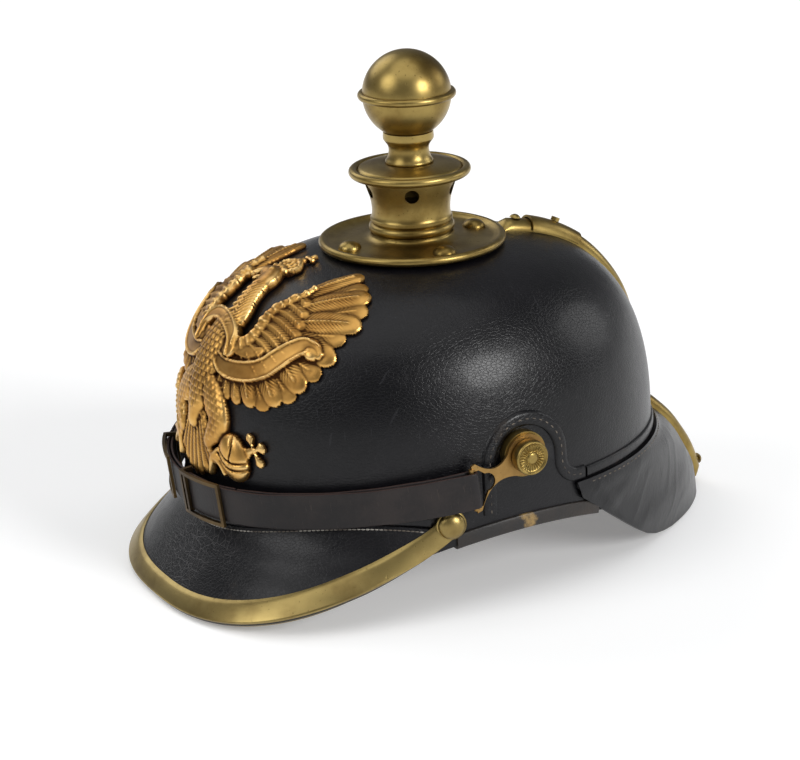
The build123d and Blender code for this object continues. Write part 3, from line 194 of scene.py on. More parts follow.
class Value:
    """A shader socket that takes part in sums: an expression on values adds its Math nodes."""

    def __init__(self, tree, socket):
        self.tree, self.socket = tree, socket

    def math(self, operation, *others):
        """A Math node on this value and others."""
        return self.tree.node("Math", {"operation": operation}, [self, *others])

    def __add__(self, other):
        return self.math("ADD", other)

    __radd__ = __add__

    def __mul__(self, other):
        return self.math("MULTIPLY", other)

    __rmul__ = __mul__

    def __sub__(self, other):
        return self.math("SUBTRACT", other)

    def __rsub__(self, other):
        return self.tree.node("Math", {"operation": "SUBTRACT"}, [other, self])

    def above(self, low, high):
        """0 below low, 1 above high, a smooth step between them."""
        made = {"interpolation_type": "SMOOTHSTEP", "clamp": True}
        return self.tree.node("MapRange", made, {"Value": self, "From Min": low, "From Max": high})


class Finish:
    """A material, its node tree, and one method that adds any node to it."""

    def __init__(self, name):
        self.material = bpy.data.materials.new(name)
        self.material.use_nodes = True
        self.tree = self.material.node_tree
        self.tree.nodes.clear()
        self.coordinates = self.node("TexCoord", {}, {}, "Object")
        self.along = self.node("UVMap", {"uv_map": "along"}, {}, "UV")
        self.shade = self.node("Attribute", {"attribute_name": "shade"}, {}, "Fac")

    def node(self, kind, settings, inputs, output=0):
        """Adds a node of a kind, with its settings made first, then its values or links."""
        made = self.tree.nodes.new("ShaderNode" + kind)
        for key, value in settings.items():
            setattr(made, key, value)
        pairs = inputs.items() if isinstance(inputs, dict) else enumerate(inputs)
        for key, value in pairs:
            socket = made.inputs[key]
            if isinstance(value, Value):
                self.tree.links.new(value.socket, socket)
            else:
                bare_colour = socket.type == "RGBA" and len(value) == 3
                socket.default_value = (*value, 1.0) if bare_colour else value
        return Value(self, made.outputs[output])

    def stretched(self, scale, turn=(0, 0, 0), source=None):
        """Coordinates, scaled per axis and turned."""
        inputs = {"Vector": source or self.coordinates, "Scale": scale, "Rotation": turn}
        return self.node("Mapping", {}, inputs)

    def noise(self, scale, detail=3.0, rough=0.55, source=None):
        """Soft noise from 0 to 1, with its scale in waves per metre."""
        inputs = {"Vector": source or self.coordinates, "Scale": scale, "Detail": detail, "Roughness": rough}
        return self.node("TexNoise", {}, inputs)

    def cells(self, scale, feature="DISTANCE_TO_EDGE", source=None):
        """A pattern of cells: the distance to their edges, or another feature of them."""
        inputs = {"Vector": source or self.coordinates, "Scale": scale}
        return self.node("TexVoronoi", {"feature": feature}, inputs)

    def mix(self, share, first, second):
        """A colour between two colours."""
        return self.node("Mix", {"data_type": "RGBA"}, {0: share, 6: first, 7: second}, 2)

    def end(self, shader):
        """Ends the tree in one shader."""
        output = self.tree.nodes.new("ShaderNodeOutputMaterial")
        self.tree.links.new(shader.socket, output.inputs["Surface"])
        return self.material

    def finish(self, colour, roughness, height, depth=0.0002, strength=0.5, metallic=0.0, coat=0.0,
               coat_rough=0.1, specular=0.5):
        """Ends the tree in one Principled shader, with a bump from a height."""
        bump = self.node("Bump", {}, {"Strength": strength, "Distance": depth, "Height": height})
        return self.end(self.node("BsdfPrincipled", {}, {
            "Base Color": colour, "Roughness": roughness, "Metallic": metallic, "Coat Weight": coat,
            "Coat Roughness": coat_rough, "Specular IOR Level": specular, "Normal": bump,
        }))


def lacquered_leather(name, crazing, wear, brown):
    """Black lacquer on leather: fine creases, crazing, scratches, and wear to brown."""
    f = Finish(name)
    clouds = f.noise(18.0, 4.0, 0.6)
    creases = f.cells(520.0, source=f.stretched((1, 1, 1.6))).math("MINIMUM", 0.12)
    grain = f.noise(1400.0, 3.0, 0.6)
    cracks = 1 - f.cells(230.0, source=f.stretched((1.0, 1.6, 0.7), (0.4, 0.2, 0.7))).above(0.0, 0.05)
    cracks = cracks * f.noise(26.0, 2.0).above(0.52, 0.66)
    down = f.stretched((14.0, 1.0, 1.2), (0.5, 0.3, 0.9))
    over = f.stretched((1.0, 16.0, 1.5), (0.1, 0.8, 0.2))
    scratches = f.noise(60.0, 2.0, 0.5, down).above(0.69, 0.74)
    scratches = scratches + f.noise(55.0, 2.0, 0.5, over).above(0.7, 0.75)
    worn = f.noise(42.0, 5.0, 0.65).above(0.72 - 0.14 * wear, 0.86 - 0.1 * wear) * wear
    specks = f.noise(900.0, 2.0, 0.5).above(0.7, 0.76)
    colour = f.mix(clouds.above(0.35, 0.75), (0.002, 0.002, 0.0028), (0.0055, 0.005, 0.0065))
    colour = f.mix(worn, colour, brown)
    colour = f.mix(scratches * 0.04, colour, (0.16, 0.16, 0.18))
    colour = f.mix(cracks * 0.3 * crazing, colour, (0.13, 0.12, 0.12))
    colour = f.mix(specks * 0.12, colour, (0.1, 0.1, 0.11))
    rough = 0.21 + clouds * 0.16 + worn * 0.25 + grain * 0.08 + scratches * 0.1
    swells = f.noise(120.0, 3.0) * 1.1 + f.noise(28.0, 2.0) * 5.0 * (0.4 + crazing)
    height = creases * 2.4 + grain * 0.35 + swells - cracks * 0.5 * crazing - scratches * 0.15
    return f.finish(colour, rough, height, 0.00028, 0.55, coat=0.1, coat_rough=0.18, specular=0.27)


def brass(name, bright, dark, rough, patina):
    """Satin brass: cloudy tarnish, fine rubbed lines and small pits."""
    f = Finish(name)
    clouds = f.noise(38.0, 5.0, 0.6)
    rubbed = f.noise(420.0, 3.0, 0.6, f.stretched((1.0, 1.0, 7.0)))
    pits = f.noise(700.0, 2.0, 0.5).above(0.66, 0.74)
    colour = f.mix(clouds.above(0.38, 0.72) * patina, bright, dark)
    colour = f.mix(pits * 0.45, colour, tuple(0.35 * c for c in dark))
    roughness = rough + clouds * 0.18 + rubbed * 0.08 + pits * 0.1
    return f.finish(colour, roughness, rubbed * 0.4 + f.noise(150.0, 3.0) - pits * 0.8, 0.00006, metallic=1.0)


def gilt_relief():
    """Stamped gilt brass: a painted highlight on its high places, and painted shade in dark brown in its recesses.
    """
    f = Finish("gilt_relief")
    clouds = f.noise(60.0, 4.0, 0.6)
    # low: painted shade, strong where the shade attribute says a place lies deep in the relief
    low = 1 - f.shade.above(0.3, 0.62)
    colour = f.mix(clouds.above(0.35, 0.7), (0.66, 0.37, 0.1), (0.42, 0.21, 0.05))
    colour = f.mix(low, colour, (0.05, 0.02, 0.007))
    # painted highlight on the relief's high places
    colour = f.mix(f.shade.above(0.62, 0.85) * 0.6, colour, (0.95, 0.66, 0.27))
    rough = 0.3 + low * 0.28 + clouds * 0.1
    return f.finish(colour, rough, f.noise(500.0, 3.0) + f.noise(160.0, 2.0), 0.0001, metallic=1.0)


def strap_leather():
    """Dull strap leather: brown-grey, cracked across, with rubbed, reddish edges."""
    f = Finish("strap_leather")
    clouds = f.noise(40.0, 5.0, 0.65)
    cracks = f.noise(0.8, 4.0, 0.6, f.stretched((0.9, 0.12, 1.0), source=f.along)).above(0.6, 0.72)
    edge = f.shade.above(0.6, 0.95)
    colour = f.mix(clouds.above(0.35, 0.7), (0.009, 0.0075, 0.008), (0.022, 0.017, 0.016))
    colour = f.mix(cracks * 0.4, colour, (0.05, 0.036, 0.03))
    colour = f.mix(edge * 0.6, colour, (0.05, 0.02, 0.014))
    rough = 0.42 + clouds * 0.2 + edge * 0.15
    height = f.noise(900.0, 3.0) * 0.6 + clouds - cracks * 0.8
    return f.finish(colour, rough, height, 0.0002, 0.6, coat=0.04, coat_rough=0.4, specular=0.28)


def plain_leather(name, first, second, rough, rubbed=None):
    """Soft leather with pores and soft folds, and a rubbed colour where the shade attribute is high."""
    f = Finish(name)
    clouds = f.noise(30.0, 5.0, 0.6)
    colour = f.mix(clouds.above(0.35, 0.7), first, second)
    colour = f.mix(f.noise(140.0, 3.0).above(0.55, 0.75) * 0.4, colour, tuple(0.5 * c for c in first))
    if rubbed:
        colour = f.mix((f.shade + f.noise(160.0, 4.0, 0.7) * 0.9).above(1.25, 1.5), colour, rubbed)
    height = f.cells(850.0, "F1") * 0.6 + f.noise(90.0, 3.0)
    return f.finish(colour, rough + clouds * 0.15, height, 0.0002, 0.6)


def thread(name, clean, soiled):
    """Waxed linen thread, soiled in places."""
    f = Finish(name)
    colour = f.mix(f.noise(90.0, 2.0).above(0.4, 0.65), clean, soiled)
    return f.finish(colour, 0.75, f.noise(2500.0, 2.0), 0.0001)


SKULL_LEATHER = lacquered_leather("skull_leather", 0.12, 0.35, (0.02, 0.014, 0.011))
VISOR_LEATHER = lacquered_leather("visor_leather", 0.8, 0.6, (0.03, 0.021, 0.015))
WELT_LEATHER = lacquered_leather("welt_leather", 0.5, 0.8, (0.035, 0.024, 0.016))
BINDING_LEATHER = plain_leather(
    "binding_leather", (0.008, 0.0065, 0.006), (0.03, 0.019, 0.011), 0.42, (0.3, 0.19, 0.06)
)
LINER_LEATHER = plain_leather("liner_leather", (0.2, 0.12, 0.065), (0.29, 0.18, 0.1), 0.6)
SATIN_BRASS = brass("satin_brass", (0.36, 0.26, 0.085), (0.15, 0.095, 0.024), 0.22, 0.95)
TRIM_BRASS = brass("trim_brass", (0.36, 0.27, 0.1), (0.17, 0.115, 0.04), 0.22, 0.8)
GILT = gilt_relief()
COPPERY = brass("coppery_brass", (0.36, 0.22, 0.075), (0.16, 0.09, 0.03), 0.28, 0.8)
DARK_BRASS = brass("dark_brass", (0.13, 0.085, 0.035), (0.035, 0.025, 0.016), 0.34, 0.9)
IRON = brass("dull_iron", (0.2, 0.18, 0.16), (0.08, 0.06, 0.045), 0.5, 0.9)
STRAP = strap_leather()
DARK_THREAD = thread("dark_thread", (0.16, 0.13, 0.1), (0.03, 0.024, 0.02))
PALE_THREAD = thread("pale_thread", (0.5, 0.47, 0.42), (0.12, 0.1, 0.08))

# Forms in the helmet's own frame


def ring(turn, level, grow=0.0):
    """The skull at a turn from its left side through its front, and a level: a superellipse of
    revolution stretched to an oval, upright below its widest level."""
    share = np.clip(np.asarray(level, float) / (HEIGHT + grow), 0, 1)
    spread = np.clip(1 - share**POWER, 0, 1) ** (1 / POWER)
    x = (WIDTH + grow) * spread * np.cos(turn)
    y = -(LENGTH + grow) * spread * np.sin(turn)
    return np.stack(np.broadcast_arrays(x, y, level), -1)


def skull_side(along, level, grow=0.0):
    """Distance of the skull from its middle plane, at a place in side view."""
    spread = (1 - np.clip(level / (HEIGHT + grow), 0, 1) ** POWER) ** (1 / POWER)
    return (WIDTH + grow) * np.sqrt(np.clip(spread**2 - (along / (LENGTH + grow)) ** 2, 0, None))


def skull_normal(points):
    """The outward direction of the skull's form at points on it."""
    x, y, z = points[..., 0], points[..., 1], np.clip(points[..., 2], 0, None)
    plan = np.clip((x / WIDTH) ** 2 + (y / LENGTH) ** 2, 1e-9, None) ** (POWER / 2 - 1)
    rise = (z / HEIGHT) ** (POWER - 1) / HEIGHT
    return unit(np.stack([x / WIDTH**2 * plan, y / LENGTH**2 * plan, rise], -1))


def top_level(along):
    """The skull's height in the middle plane."""
    return float(HEIGHT * (1 - (along / LENGTH) ** POWER) ** (1 / POWER))


def edge_level(along):
    """Height of the skull's lower edge: flat, with a shallow arch over each ear."""
    rise = np.sqrt(np.clip(EDGE_ARCH_RADIUS**2 - (along - EDGE_ARCH_ALONG) ** 2, 0, None))
    return np.maximum(-SKIRT, EDGE_ARCH_LEVEL + rise)


def cubic(t, start, end, leave, arrive):
    """A cubic from one value to another, with a slope at each end."""
    return (
        (2 * t**3 - 3 * t**2 + 1) * start + (t**3 - 2 * t**2 + t) * leave
        + (3 * t**2 - 2 * t**3) * end + (t**3 - t**2) * arrive
    )


def smooth_path(points, count):
    """A curve through points: each stretch is a cubic whose ends run along its neighbours' chord."""
    points = np.asarray(points, float)
    before = np.vstack([2 * points[0] - points[1], points[:-1]])
    after = np.vstack([points[1:], 2 * points[-1] - points[-2]])
    slope = (after - before) / 2
    at = np.linspace(0, len(points) - 1, count)
    i = np.minimum(at.astype(int), len(points) - 2)
    return cubic((at - i)[:, None], points[i], points[i + 1], slope[i], slope[i + 1])


def smooth_values(xs, ys, at):
    """A curve through values whose slopes keep between those of the stretches beside them."""
    steps = np.diff(ys) / np.diff(xs)
    product, total = steps[1:] * steps[:-1], steps[1:] + steps[:-1]
    inner = np.where(product > 0, 2 * product / np.where(total == 0, 1, total), 0)
    slopes = np.concatenate([[steps[0]], inner, [steps[-1]]])
    i = np.clip(np.searchsorted(xs, at) - 1, 0, len(xs) - 2)
    h = xs[i + 1] - xs[i]
    return cubic((at - xs[i]) / h, ys[i], ys[i + 1], h * slopes[i], h * slopes[i + 1])


def turned(part, profile, origin, axis, columns=96, flutes=None):
    """Adds a profile of (radius, height) turned about an axis; flutes changes it by turn."""
    axis = np.asarray(axis, float) / np.linalg.norm(axis)
    side = unit(np.cross(axis, [0, 1, 0] if abs(axis[1]) < 0.9 else [1, 0, 0]))
    other = np.cross(axis, side)
    turn = full_turn(columns)
    radius, height = (np.asarray(profile, float)[:, i][:, None] + 0 * turn for i in (0, 1))
    if flutes is not None:
        height = height + flutes(radius, turn)
    spoke = np.cos(turn)[..., None] * side + np.sin(turn)[..., None] * other
    points = np.asarray(origin, float) + radius[..., None] * spoke + height[..., None] * axis
    return part.grid(points, round_columns=True)


def dome_profile(radius, rise, rows=14, depth=1.0):
    """A rounded head: an upright edge, then part of a squashed circle to the middle."""
    turn = np.linspace(0, np.pi / 2, rows)
    head = np.stack([radius * np.cos(turn), rise * np.sin(turn)], -1)
    return np.vstack([[0, -depth], [radius * 0.96, -depth], [radius, -depth * 0.4], head])


def grid_normals(points, inside):
    """A grid's unit normals, from its two sets of differences, turned away from a place inside."""
    normal = unit(np.cross(np.gradient(points, axis=0), np.gradient(points, axis=1)))
    return normal * np.sign(np.sum(normal * (points - np.asarray(inside))))


def skull_piece():
    """The skull: its outer and inner walls, joined at the lower edge and round the crown's hole."""
    turn = full_turn(320)
    low = np.linspace(0, 1, 9)[:-1, None]
    climb = np.radians(np.linspace(0, 1, 90)[:, None] ** 0.9 * 86.5)
    reach = (np.cos(climb) ** POWER + np.sin(climb) ** POWER) ** (-1 / POWER)
    walls = []
    for grow in (0.0, -WALL):
        edge = edge_level(-(LENGTH + grow) * np.sin(turn))
        skirt = ring(turn, edge * (1 - low), grow)
        x = (WIDTH + grow) * reach * np.cos(climb) * np.cos(turn)
        y = -(LENGTH + grow) * reach * np.cos(climb) * np.sin(turn)
        z = (HEIGHT + grow) * reach * np.sin(climb) + 0 * turn
        wall = np.stack([x, y, z], -1)
        calm = np.clip((z - 20.0) / 18.0, 0, 1) * np.clip((100.0 - z) / 12.0, 0, 1)
        sway = np.sin(0.061 * x + 0.043 * z + 0.7) * np.sin(0.052 * y - 0.05 * z)
        sway = sway + 0.5 * np.sin(0.13 * x - 0.11 * y)
        walls.append(np.concatenate([skirt, wall + (0.18 * calm * sway)[..., None] * skull_normal(wall)]))
    part = Part("skull_shell", SKULL_LEATHER, stands_for=("skull",), slot="black_leather")
    part.grid(np.concatenate([walls[0], walls[1][::-1]]), True, True, inside=(0, 0, 40)).make(50)


def visor_form(rows, top, drop, reach, side_reach, end):
    """A visor's form: half ovals whose length, width and roundness change with level, by smooth curves.
    Each row gives a share of the drop, shares of both reaches, and the roundness."""
    rows = np.asarray(rows, float)

    def point(turn, level):
        """A place on the half oval: length and width, each times a root of powers of cosine and sine."""
        share = (top - np.asarray(level, float)) / drop
        longer, wider, power = (smooth_values(rows[:, 0], rows[:, i], share) for i in (1, 2, 3))
        across, forward = np.cos(turn), np.abs(np.sin(turn))
        size = (np.abs(across) ** power + forward**power) ** (-1 / power)
        x = (WIDTH + side_reach * wider) * size * across
        y = end * (LENGTH + reach * longer) * size * forward
        return np.stack(np.broadcast_arrays(x, y, level), -1)

    return point


FRONT_FORM = visor_form(
    ((-0.12, -0.10, 0.08, 2.0), (0.12, 0.01, 0.09, 2.15), (0.35, 0.243, 0.14, 2.35),
     (0.60, 0.534, 0.32, 2.48), (0.85, 0.826, 0.68, 2.5), (1.15, 1.18, 1.30, 2.5)), 1.0, 38.2, 24.7, 24.5, -1)
REAR_FORM = visor_form(
    ((0.0, 0.055, 1.0, 2.0), (0.09, 0.123, 1.0, 2.0), (0.222, 0.384, 1.0, 1.85), (0.444, 0.658, 0.75, 1.7),
     (0.722, 0.89, 0.25, 1.6), (1.0, 1.0, -0.75, 1.5), (1.15, 1.02, -1.0, 1.5)), 12.0, 54.0, 36.5, 2.0, 1)


def crossing(form, line, turn, low, high):
    """The level at which each turn of a form meets a line drawn in side view, by halving the span."""
    low, high = np.full_like(turn, low), np.full_like(turn, high)
    for _ in range(42):
        middle = (low + high) / 2
        over = middle > line(form(turn, middle)[..., 1])
        high, low = np.where(over, middle, high), np.where(over, low, middle)
    return (low + high) / 2


def even_turns(form, line, span, start, count):
    """Turns whose places on a line are evenly spaced."""
    turn = np.linspace(start, np.pi - start, 900)
    run = distances(form(turn, crossing(form, line, turn, *span)))
    return np.interp(np.linspace(0, run[-1], count), run, turn)


def front_rim_line(inset):
    """The front rim in side view, moved into the visor by an inset that narrows forwards."""
    share = np.linspace(0.0, 1.12, 240) ** 1.6
    slope = RIM_DROP * RIM_POWER * np.maximum(share, 1e-3) ** (RIM_POWER - 1)
    step = inset * (1 - 0.4 * share) / np.hypot(RIM_REACH, slope)
    ys = RIM_BACK - RIM_REACH * share - step * slope
    zs = RIM_TOP - RIM_DROP * share**RIM_POWER + step * RIM_REACH
    order = np.argsort(ys)
    return lambda along: np.interp(along, ys[order], zs[order])


def circle_line(points):
    """The upper arc through three points in side view, as a height for each place along."""
    (a, b), (c, d), (e, f) = points
    matrix = np.array([[c - a, d - b], [e - a, f - b]])
    value = 0.5 * np.array([c**2 - a**2 + d**2 - b**2, e**2 - a**2 + f**2 - b**2])
    y0, z0 = np.linalg.solve(matrix, value)
    radius = np.hypot(a - y0, b - z0)
    return lambda along: z0 + np.sqrt(np.clip(radius**2 - (along - y0) ** 2, 0, None))


SEAM = circle_line(((-LENGTH, SEAM_FRONT_LEVEL), (-72.0, 5.0), (-30.28, -0.68)))


def front_seam(along):
    """The front seam in side view, level ahead of the skull."""
    return np.where(along < -LENGTH, SEAM_FRONT_LEVEL, SEAM(along))


def rear_rim(along):
    """The rear visor's edge in side view: steep at the ear, slanting down, then level behind."""
    ys = np.array([31.0, 32.5, 45.0, 60.0, 74.0, 82.0, 90.0, 98.0, 106.0, 125.0, 150.0, 180.0])
    zs = np.array([10.2, 3.2, -6.4, -17.7, -28.2, -33.6, -37.2, -39.3, -40.5, -41.6, -42.0, -42.0])
    return np.interp(along, ys, zs)


def visor_piece(name, node, outer, normal, bulge, inside):
    """A visor from its outer rows: a rounded edge past the last row, then the inner wall."""
    across = np.linspace(0, 1, 7)[1:-1, None, None]
    run = unit(outer[-1:] - outer[-2:-1])
    lip = outer[-1:] - VISOR * across * normal[-1:] + bulge * np.sin(np.pi * across) * run
    part = Part(name, VISOR_LEATHER, stands_for=(node,), slot="black_leather")
    part.grid(np.concatenate([outer, lip, (outer - VISOR * normal)[::-1]]), True, inside=inside, caps=True)
    part.make(60)


def front_visor_piece():
    """The front visor: rows from its seam to its rim on the flared form, with its thickness."""
    turn = even_turns(FRONT_FORM, front_rim_line(0), RIM_SPAN, 0.285, 260)
    top = crossing(FRONT_FORM, front_seam, turn, *SEAM_SPAN)
    rim = crossing(FRONT_FORM, front_rim_line(0), turn, *RIM_SPAN)
    down = np.linspace(0, 1, 28)[:, None] ** 0.85
    outer = FRONT_FORM(turn, top * (1 - down) + rim * down)
    normal = grid_normals(outer, (0, 0, 60))
    visor_piece("front_visor_leather", "front_visor", outer, normal, 0.5, (0, -60, 30))


def rear_visor_piece():
    """The rear visor: rows from its seam down to its rim, creased by clipped waves across it."""
    turn = np.linspace(0.272, np.pi - 0.272, 300)
    rim = crossing(REAR_FORM, rear_rim, turn, -43.0, REAR_SEAM_LEVEL)
    down = np.linspace(0, 1, 44)[:, None]
    outer = REAR_FORM(turn, REAR_SEAM_LEVEL * (1 - down) + rim * down)
    normal = grid_normals(outer, (0, 0, 60))
    x, y, z = outer[..., 0], outer[..., 1], outer[..., 2]
    folds = np.clip(np.sin(0.11 * x + 0.19 * z + 1.3 * np.sin(0.06 * y)), 0, 1) ** 3
    folds = folds + np.clip(np.sin(0.17 * x - 0.13 * z + 2.0 * np.sin(0.05 * y + 1)), 0, 1) ** 4
    fine = np.clip(np.sin(0.42 * x + 0.31 * z + 1.9 * np.sin(0.21 * y)), 0, 1) ** 2
    where = np.clip(4 * down * (1.05 - down), 0, 1)
    outer = outer + ((0.3 * folds + 0.13 * fine) * where)[..., None] * normal
    visor_piece("rear_visor_leather", "rear_visor", outer, normal, 0.1, (0, 60, 40))


def trim_stud_axis(side):
    """The place and direction of a trim stud: square to the skull beside it."""
    out = skull_side(TRIM_STUD_ALONG, TRIM_STUD_LEVEL)
    lean = np.arctan2(-TRIM_STUD_ALONG / LENGTH**2, out / WIDTH**2)
    origin = (side * (out + TRIM_STUD_OUT), TRIM_STUD_ALONG, TRIM_STUD_LEVEL)
    return origin, (side * np.cos(lean), -np.sin(lean), 0)


def trim_piece():
    """The brass trim: a channel folded over the front rim, gently rounded, with a disc at each end."""
    turn = even_turns(FRONT_FORM, front_rim_line(0), RIM_SPAN, 0.29, 260)
    rim = crossing(FRONT_FORM, front_rim_line(0), turn, *RIM_SPAN)
    top = crossing(FRONT_FORM, front_rim_line(TRIM_WIDTH), turn, RIM_SPAN[0], 9.0)
    down = np.linspace(0, 1, 14)[:, None]
    skin = FRONT_FORM(turn, top * (1 - down) + rim * down)
    normal = grid_normals(skin, (0, 0, 60))
    down = down[..., None]
    bulge = np.clip(np.sin(np.pi * down) ** 0.8, 0, 1)
    outer = skin + (0.25 + (TRIM_WALL - 0.25) * np.minimum(1, 6 * down) + 0.3 * bulge) * normal
    fold = np.radians(np.linspace(0, 180, 13))[1:-1, None, None]
    middle, half = skin[-1:] - VISOR / 2 * normal[-1:], VISOR / 2 + TRIM_WALL
    lip = middle + half * np.cos(fold) * normal[-1:] + 0.25 * np.sin(fold) * unit(skin[-1:] - skin[-2:-1])
    inner = (skin - (VISOR + TRIM_WALL) * normal)[::-1]
    part = Part("front_visor_edge_trim", TRIM_BRASS, stands_for=("front_visor_trim",), slot="brass")
    part.grid(np.concatenate([outer, lip, inner]), True, inside=(0, -60, 30), caps=True)
    disc = [(0, -1.6), (6.5, -1.6), (6.8, -1.2), (6.8, -0.5), (6.4, -0.1), (5.6, 0.0), (0, 0.0)]
    for side in (1, -1):
        turned(part, disc, *trim_stud_axis(side))
    part.make(50)


def rounded(rise):
    """Shares across a strip from edge to edge, and its height there: a flattened round."""
    v = np.linspace(-1, 1, 15)[:, None]
    return v, rise * np.clip(1 - np.abs(v) ** 4, 0, 1) ** 0.5


def side_strip(part, path, width, rise, side):
    """Adds a rounded strip on the skull's side, along a path in side view."""
    v, height = rounded(rise)
    place = path[None] + v[..., None] * width / 2 * square_to(path)[None]
    along, level = place[..., 0], place[..., 1]
    top = np.stack([side * (skull_side(along, level, SEATED) + height), along, level], -1)
    low = top[::-1].copy()
    low[..., 0] = side * (skull_side(low[..., 1], low[..., 2]) - SUNK)
    return part.grid(np.concatenate([top, low[1:-1]]), True, caps=True)


def round_strip(part, turn, level, width, rise):
    """Adds a rounded strip on the skull that stands on a level for each turn."""
    v, height = rounded(rise)
    skin = ring(turn, level + (v + 1) / 2 * width)
    out = skull_normal(skin)
    low = (skin - SUNK * out)[::-1]
    top = skin + (SEATED + height)[..., None] * out
    return part.grid(np.concatenate([top, low[1:-1]]), True, inside=(0, 0, 0), caps=True)


def ear_arch():
    """The ear welt's path in side view: a leg, an arch, and a leg that curves into the rear welt."""
    leg = np.stack([np.full(8, EAR_ALONG - EAR_RADIUS), np.linspace(5.0, EAR_LEVEL - 1.0, 8)], -1)
    arch = arc_points(EAR_ALONG, EAR_LEVEL, EAR_RADIUS, 180, 0, 40)
    bend_level = EAR_LEVEL - 3.5
    bend = arc_points(EAR_ALONG + EAR_RADIUS + EAR_BEND, bend_level, EAR_BEND, 180, 270, 14)
    end_level = bend_level - EAR_BEND
    return np.concatenate([leg, arch, bend, [[34.0, end_level], [36.0, end_level]]])


def welts():
    """Sewn strips along both visor seams and round the ears, and the binding of the lower edge."""
    turn = even_turns(ring, front_seam, SEAM_SPAN, 0.37, 240)
    level = crossing(ring, front_seam, turn, *SEAM_SPAN) + SEATED
    part = Part("front_seam_welt", WELT_LEATHER, stands_for=("front_visor_welt",), slot="black_leather")
    round_strip(part, turn, level, WELT_WIDTH, WELT_RISE).make(60)
    turn = -np.linspace(0.34, np.pi - 0.34, 220)
    level = REAR_SEAM_LEVEL + SEATED + 0 * turn
    part = Part("rear_seam_welt", WELT_LEATHER, stands_for=("rear_visor_welt",), slot="black_leather")
    round_strip(part, turn, level, WELT_WIDTH, WELT_RISE).make(60)
    section = smooth_path([(0.05, 5.5), (1.0, 5.2), (1.35, 3.0), (1.4, 0.5), (0.9, -1.1), (-1.5, -1.5),
                           (-3.9, -1.1), (-4.3, 0.5), (-4.2, 3.0), (-4.0, 5.2), (-3.05, 5.5)], 33)
    along = np.broadcast_to(np.linspace(-29.5, 44.0, 90), (33, 90))
    level = edge_level(along) + section[:, 1:]
    patch = 0.35 + 0.55 * np.exp(-(((along - 4.0) / 9.0) ** 2))
    for name, side in (("left", 1), ("right", -1)):
        replaced = ("ear_welt_" + name,)
        part = Part("ear_arch_welt_" + name, WELT_LEATHER, stands_for=replaced, slot="black_leather")
        side_strip(part, ear_arch(), 6.5, 1.3, side).make(60)
        x = side * (skull_side(along, edge_level(along)) + section[:, :1])
        replaced = ("edge_binding_" + name,)
        part = Part("ear_edge_binding_" + name, BINDING_LEATHER, stands_for=replaced, slot="worn_leather")
        part.grid(np.stack([x, along, level], -1), True, shade=patch, caps=True).make(60)


def stitches():
    """Short thread stitches: one small rounded bead shape, repeated along each seam."""
    u, v = full_turn(6), np.linspace(0, np.pi, 5)[:, None]
    bead = np.stack([np.sin(v) * np.cos(u) * 0.32, np.sin(v) * np.sin(u) * 0.32, np.cos(v) + 0 * u], -1)
    bead = bead.reshape(1, -1, 3)
    turn = even_turns(ring, front_seam, SEAM_SPAN, 0.42, 118)
    level = crossing(FRONT_FORM, front_seam, turn, *SEAM_SPAN) - 1.4
    seams = [(FRONT_FORM(turn, level), 0.95)]
    turn = np.linspace(0.36, np.pi - 0.36, 74)
    seams.append((REAR_FORM(turn, REAR_SEAM_LEVEL - 1.8 + 0 * turn), 1.1))
    path = ear_arch()
    run = distances(path)
    at = np.arange(1.5, run[-1] - 1.5, 3.6)
    y, z = np.interp(at, run, path[:, 0]), np.interp(at, run, path[:, 1])
    for side in (1, -1):
        seams.append((np.stack([side * (skull_side(y, z) + 1.3), y, z], -1), 0.9))
    for number, (places, half) in enumerate(seams):
        run = unit(np.gradient(places, axis=0))
        out = skull_normal(places)
        out = unit(out - np.sum(out * run, 1, keepdims=True) * run)
        points = places[:, None] + bead @ np.stack([out, np.cross(run, out), half * run], 1)
        one = outward(points[0], grid_faces(5, 6, False, True), None)
        faces = (one[None] + bead.shape[1] * np.arange(len(places))[:, None, None]).reshape(-1, 4)
        part = Part(f"seam_stitches_{number}", DARK_THREAD if number else PALE_THREAD)
        part.cells(points.reshape(-1, 3), faces).make()


# Brass fittings


def crown_piece(name, replaced, profile, columns, body="helmet", above=0.0, crease=50):
    """A brass piece turned about the crown axis."""
    part = Part(name, SATIN_BRASS, body, replaced, "brass")
    turned(part, profile, (0, 0, CROWN + above), (0, 0, 1), columns).make(crease)


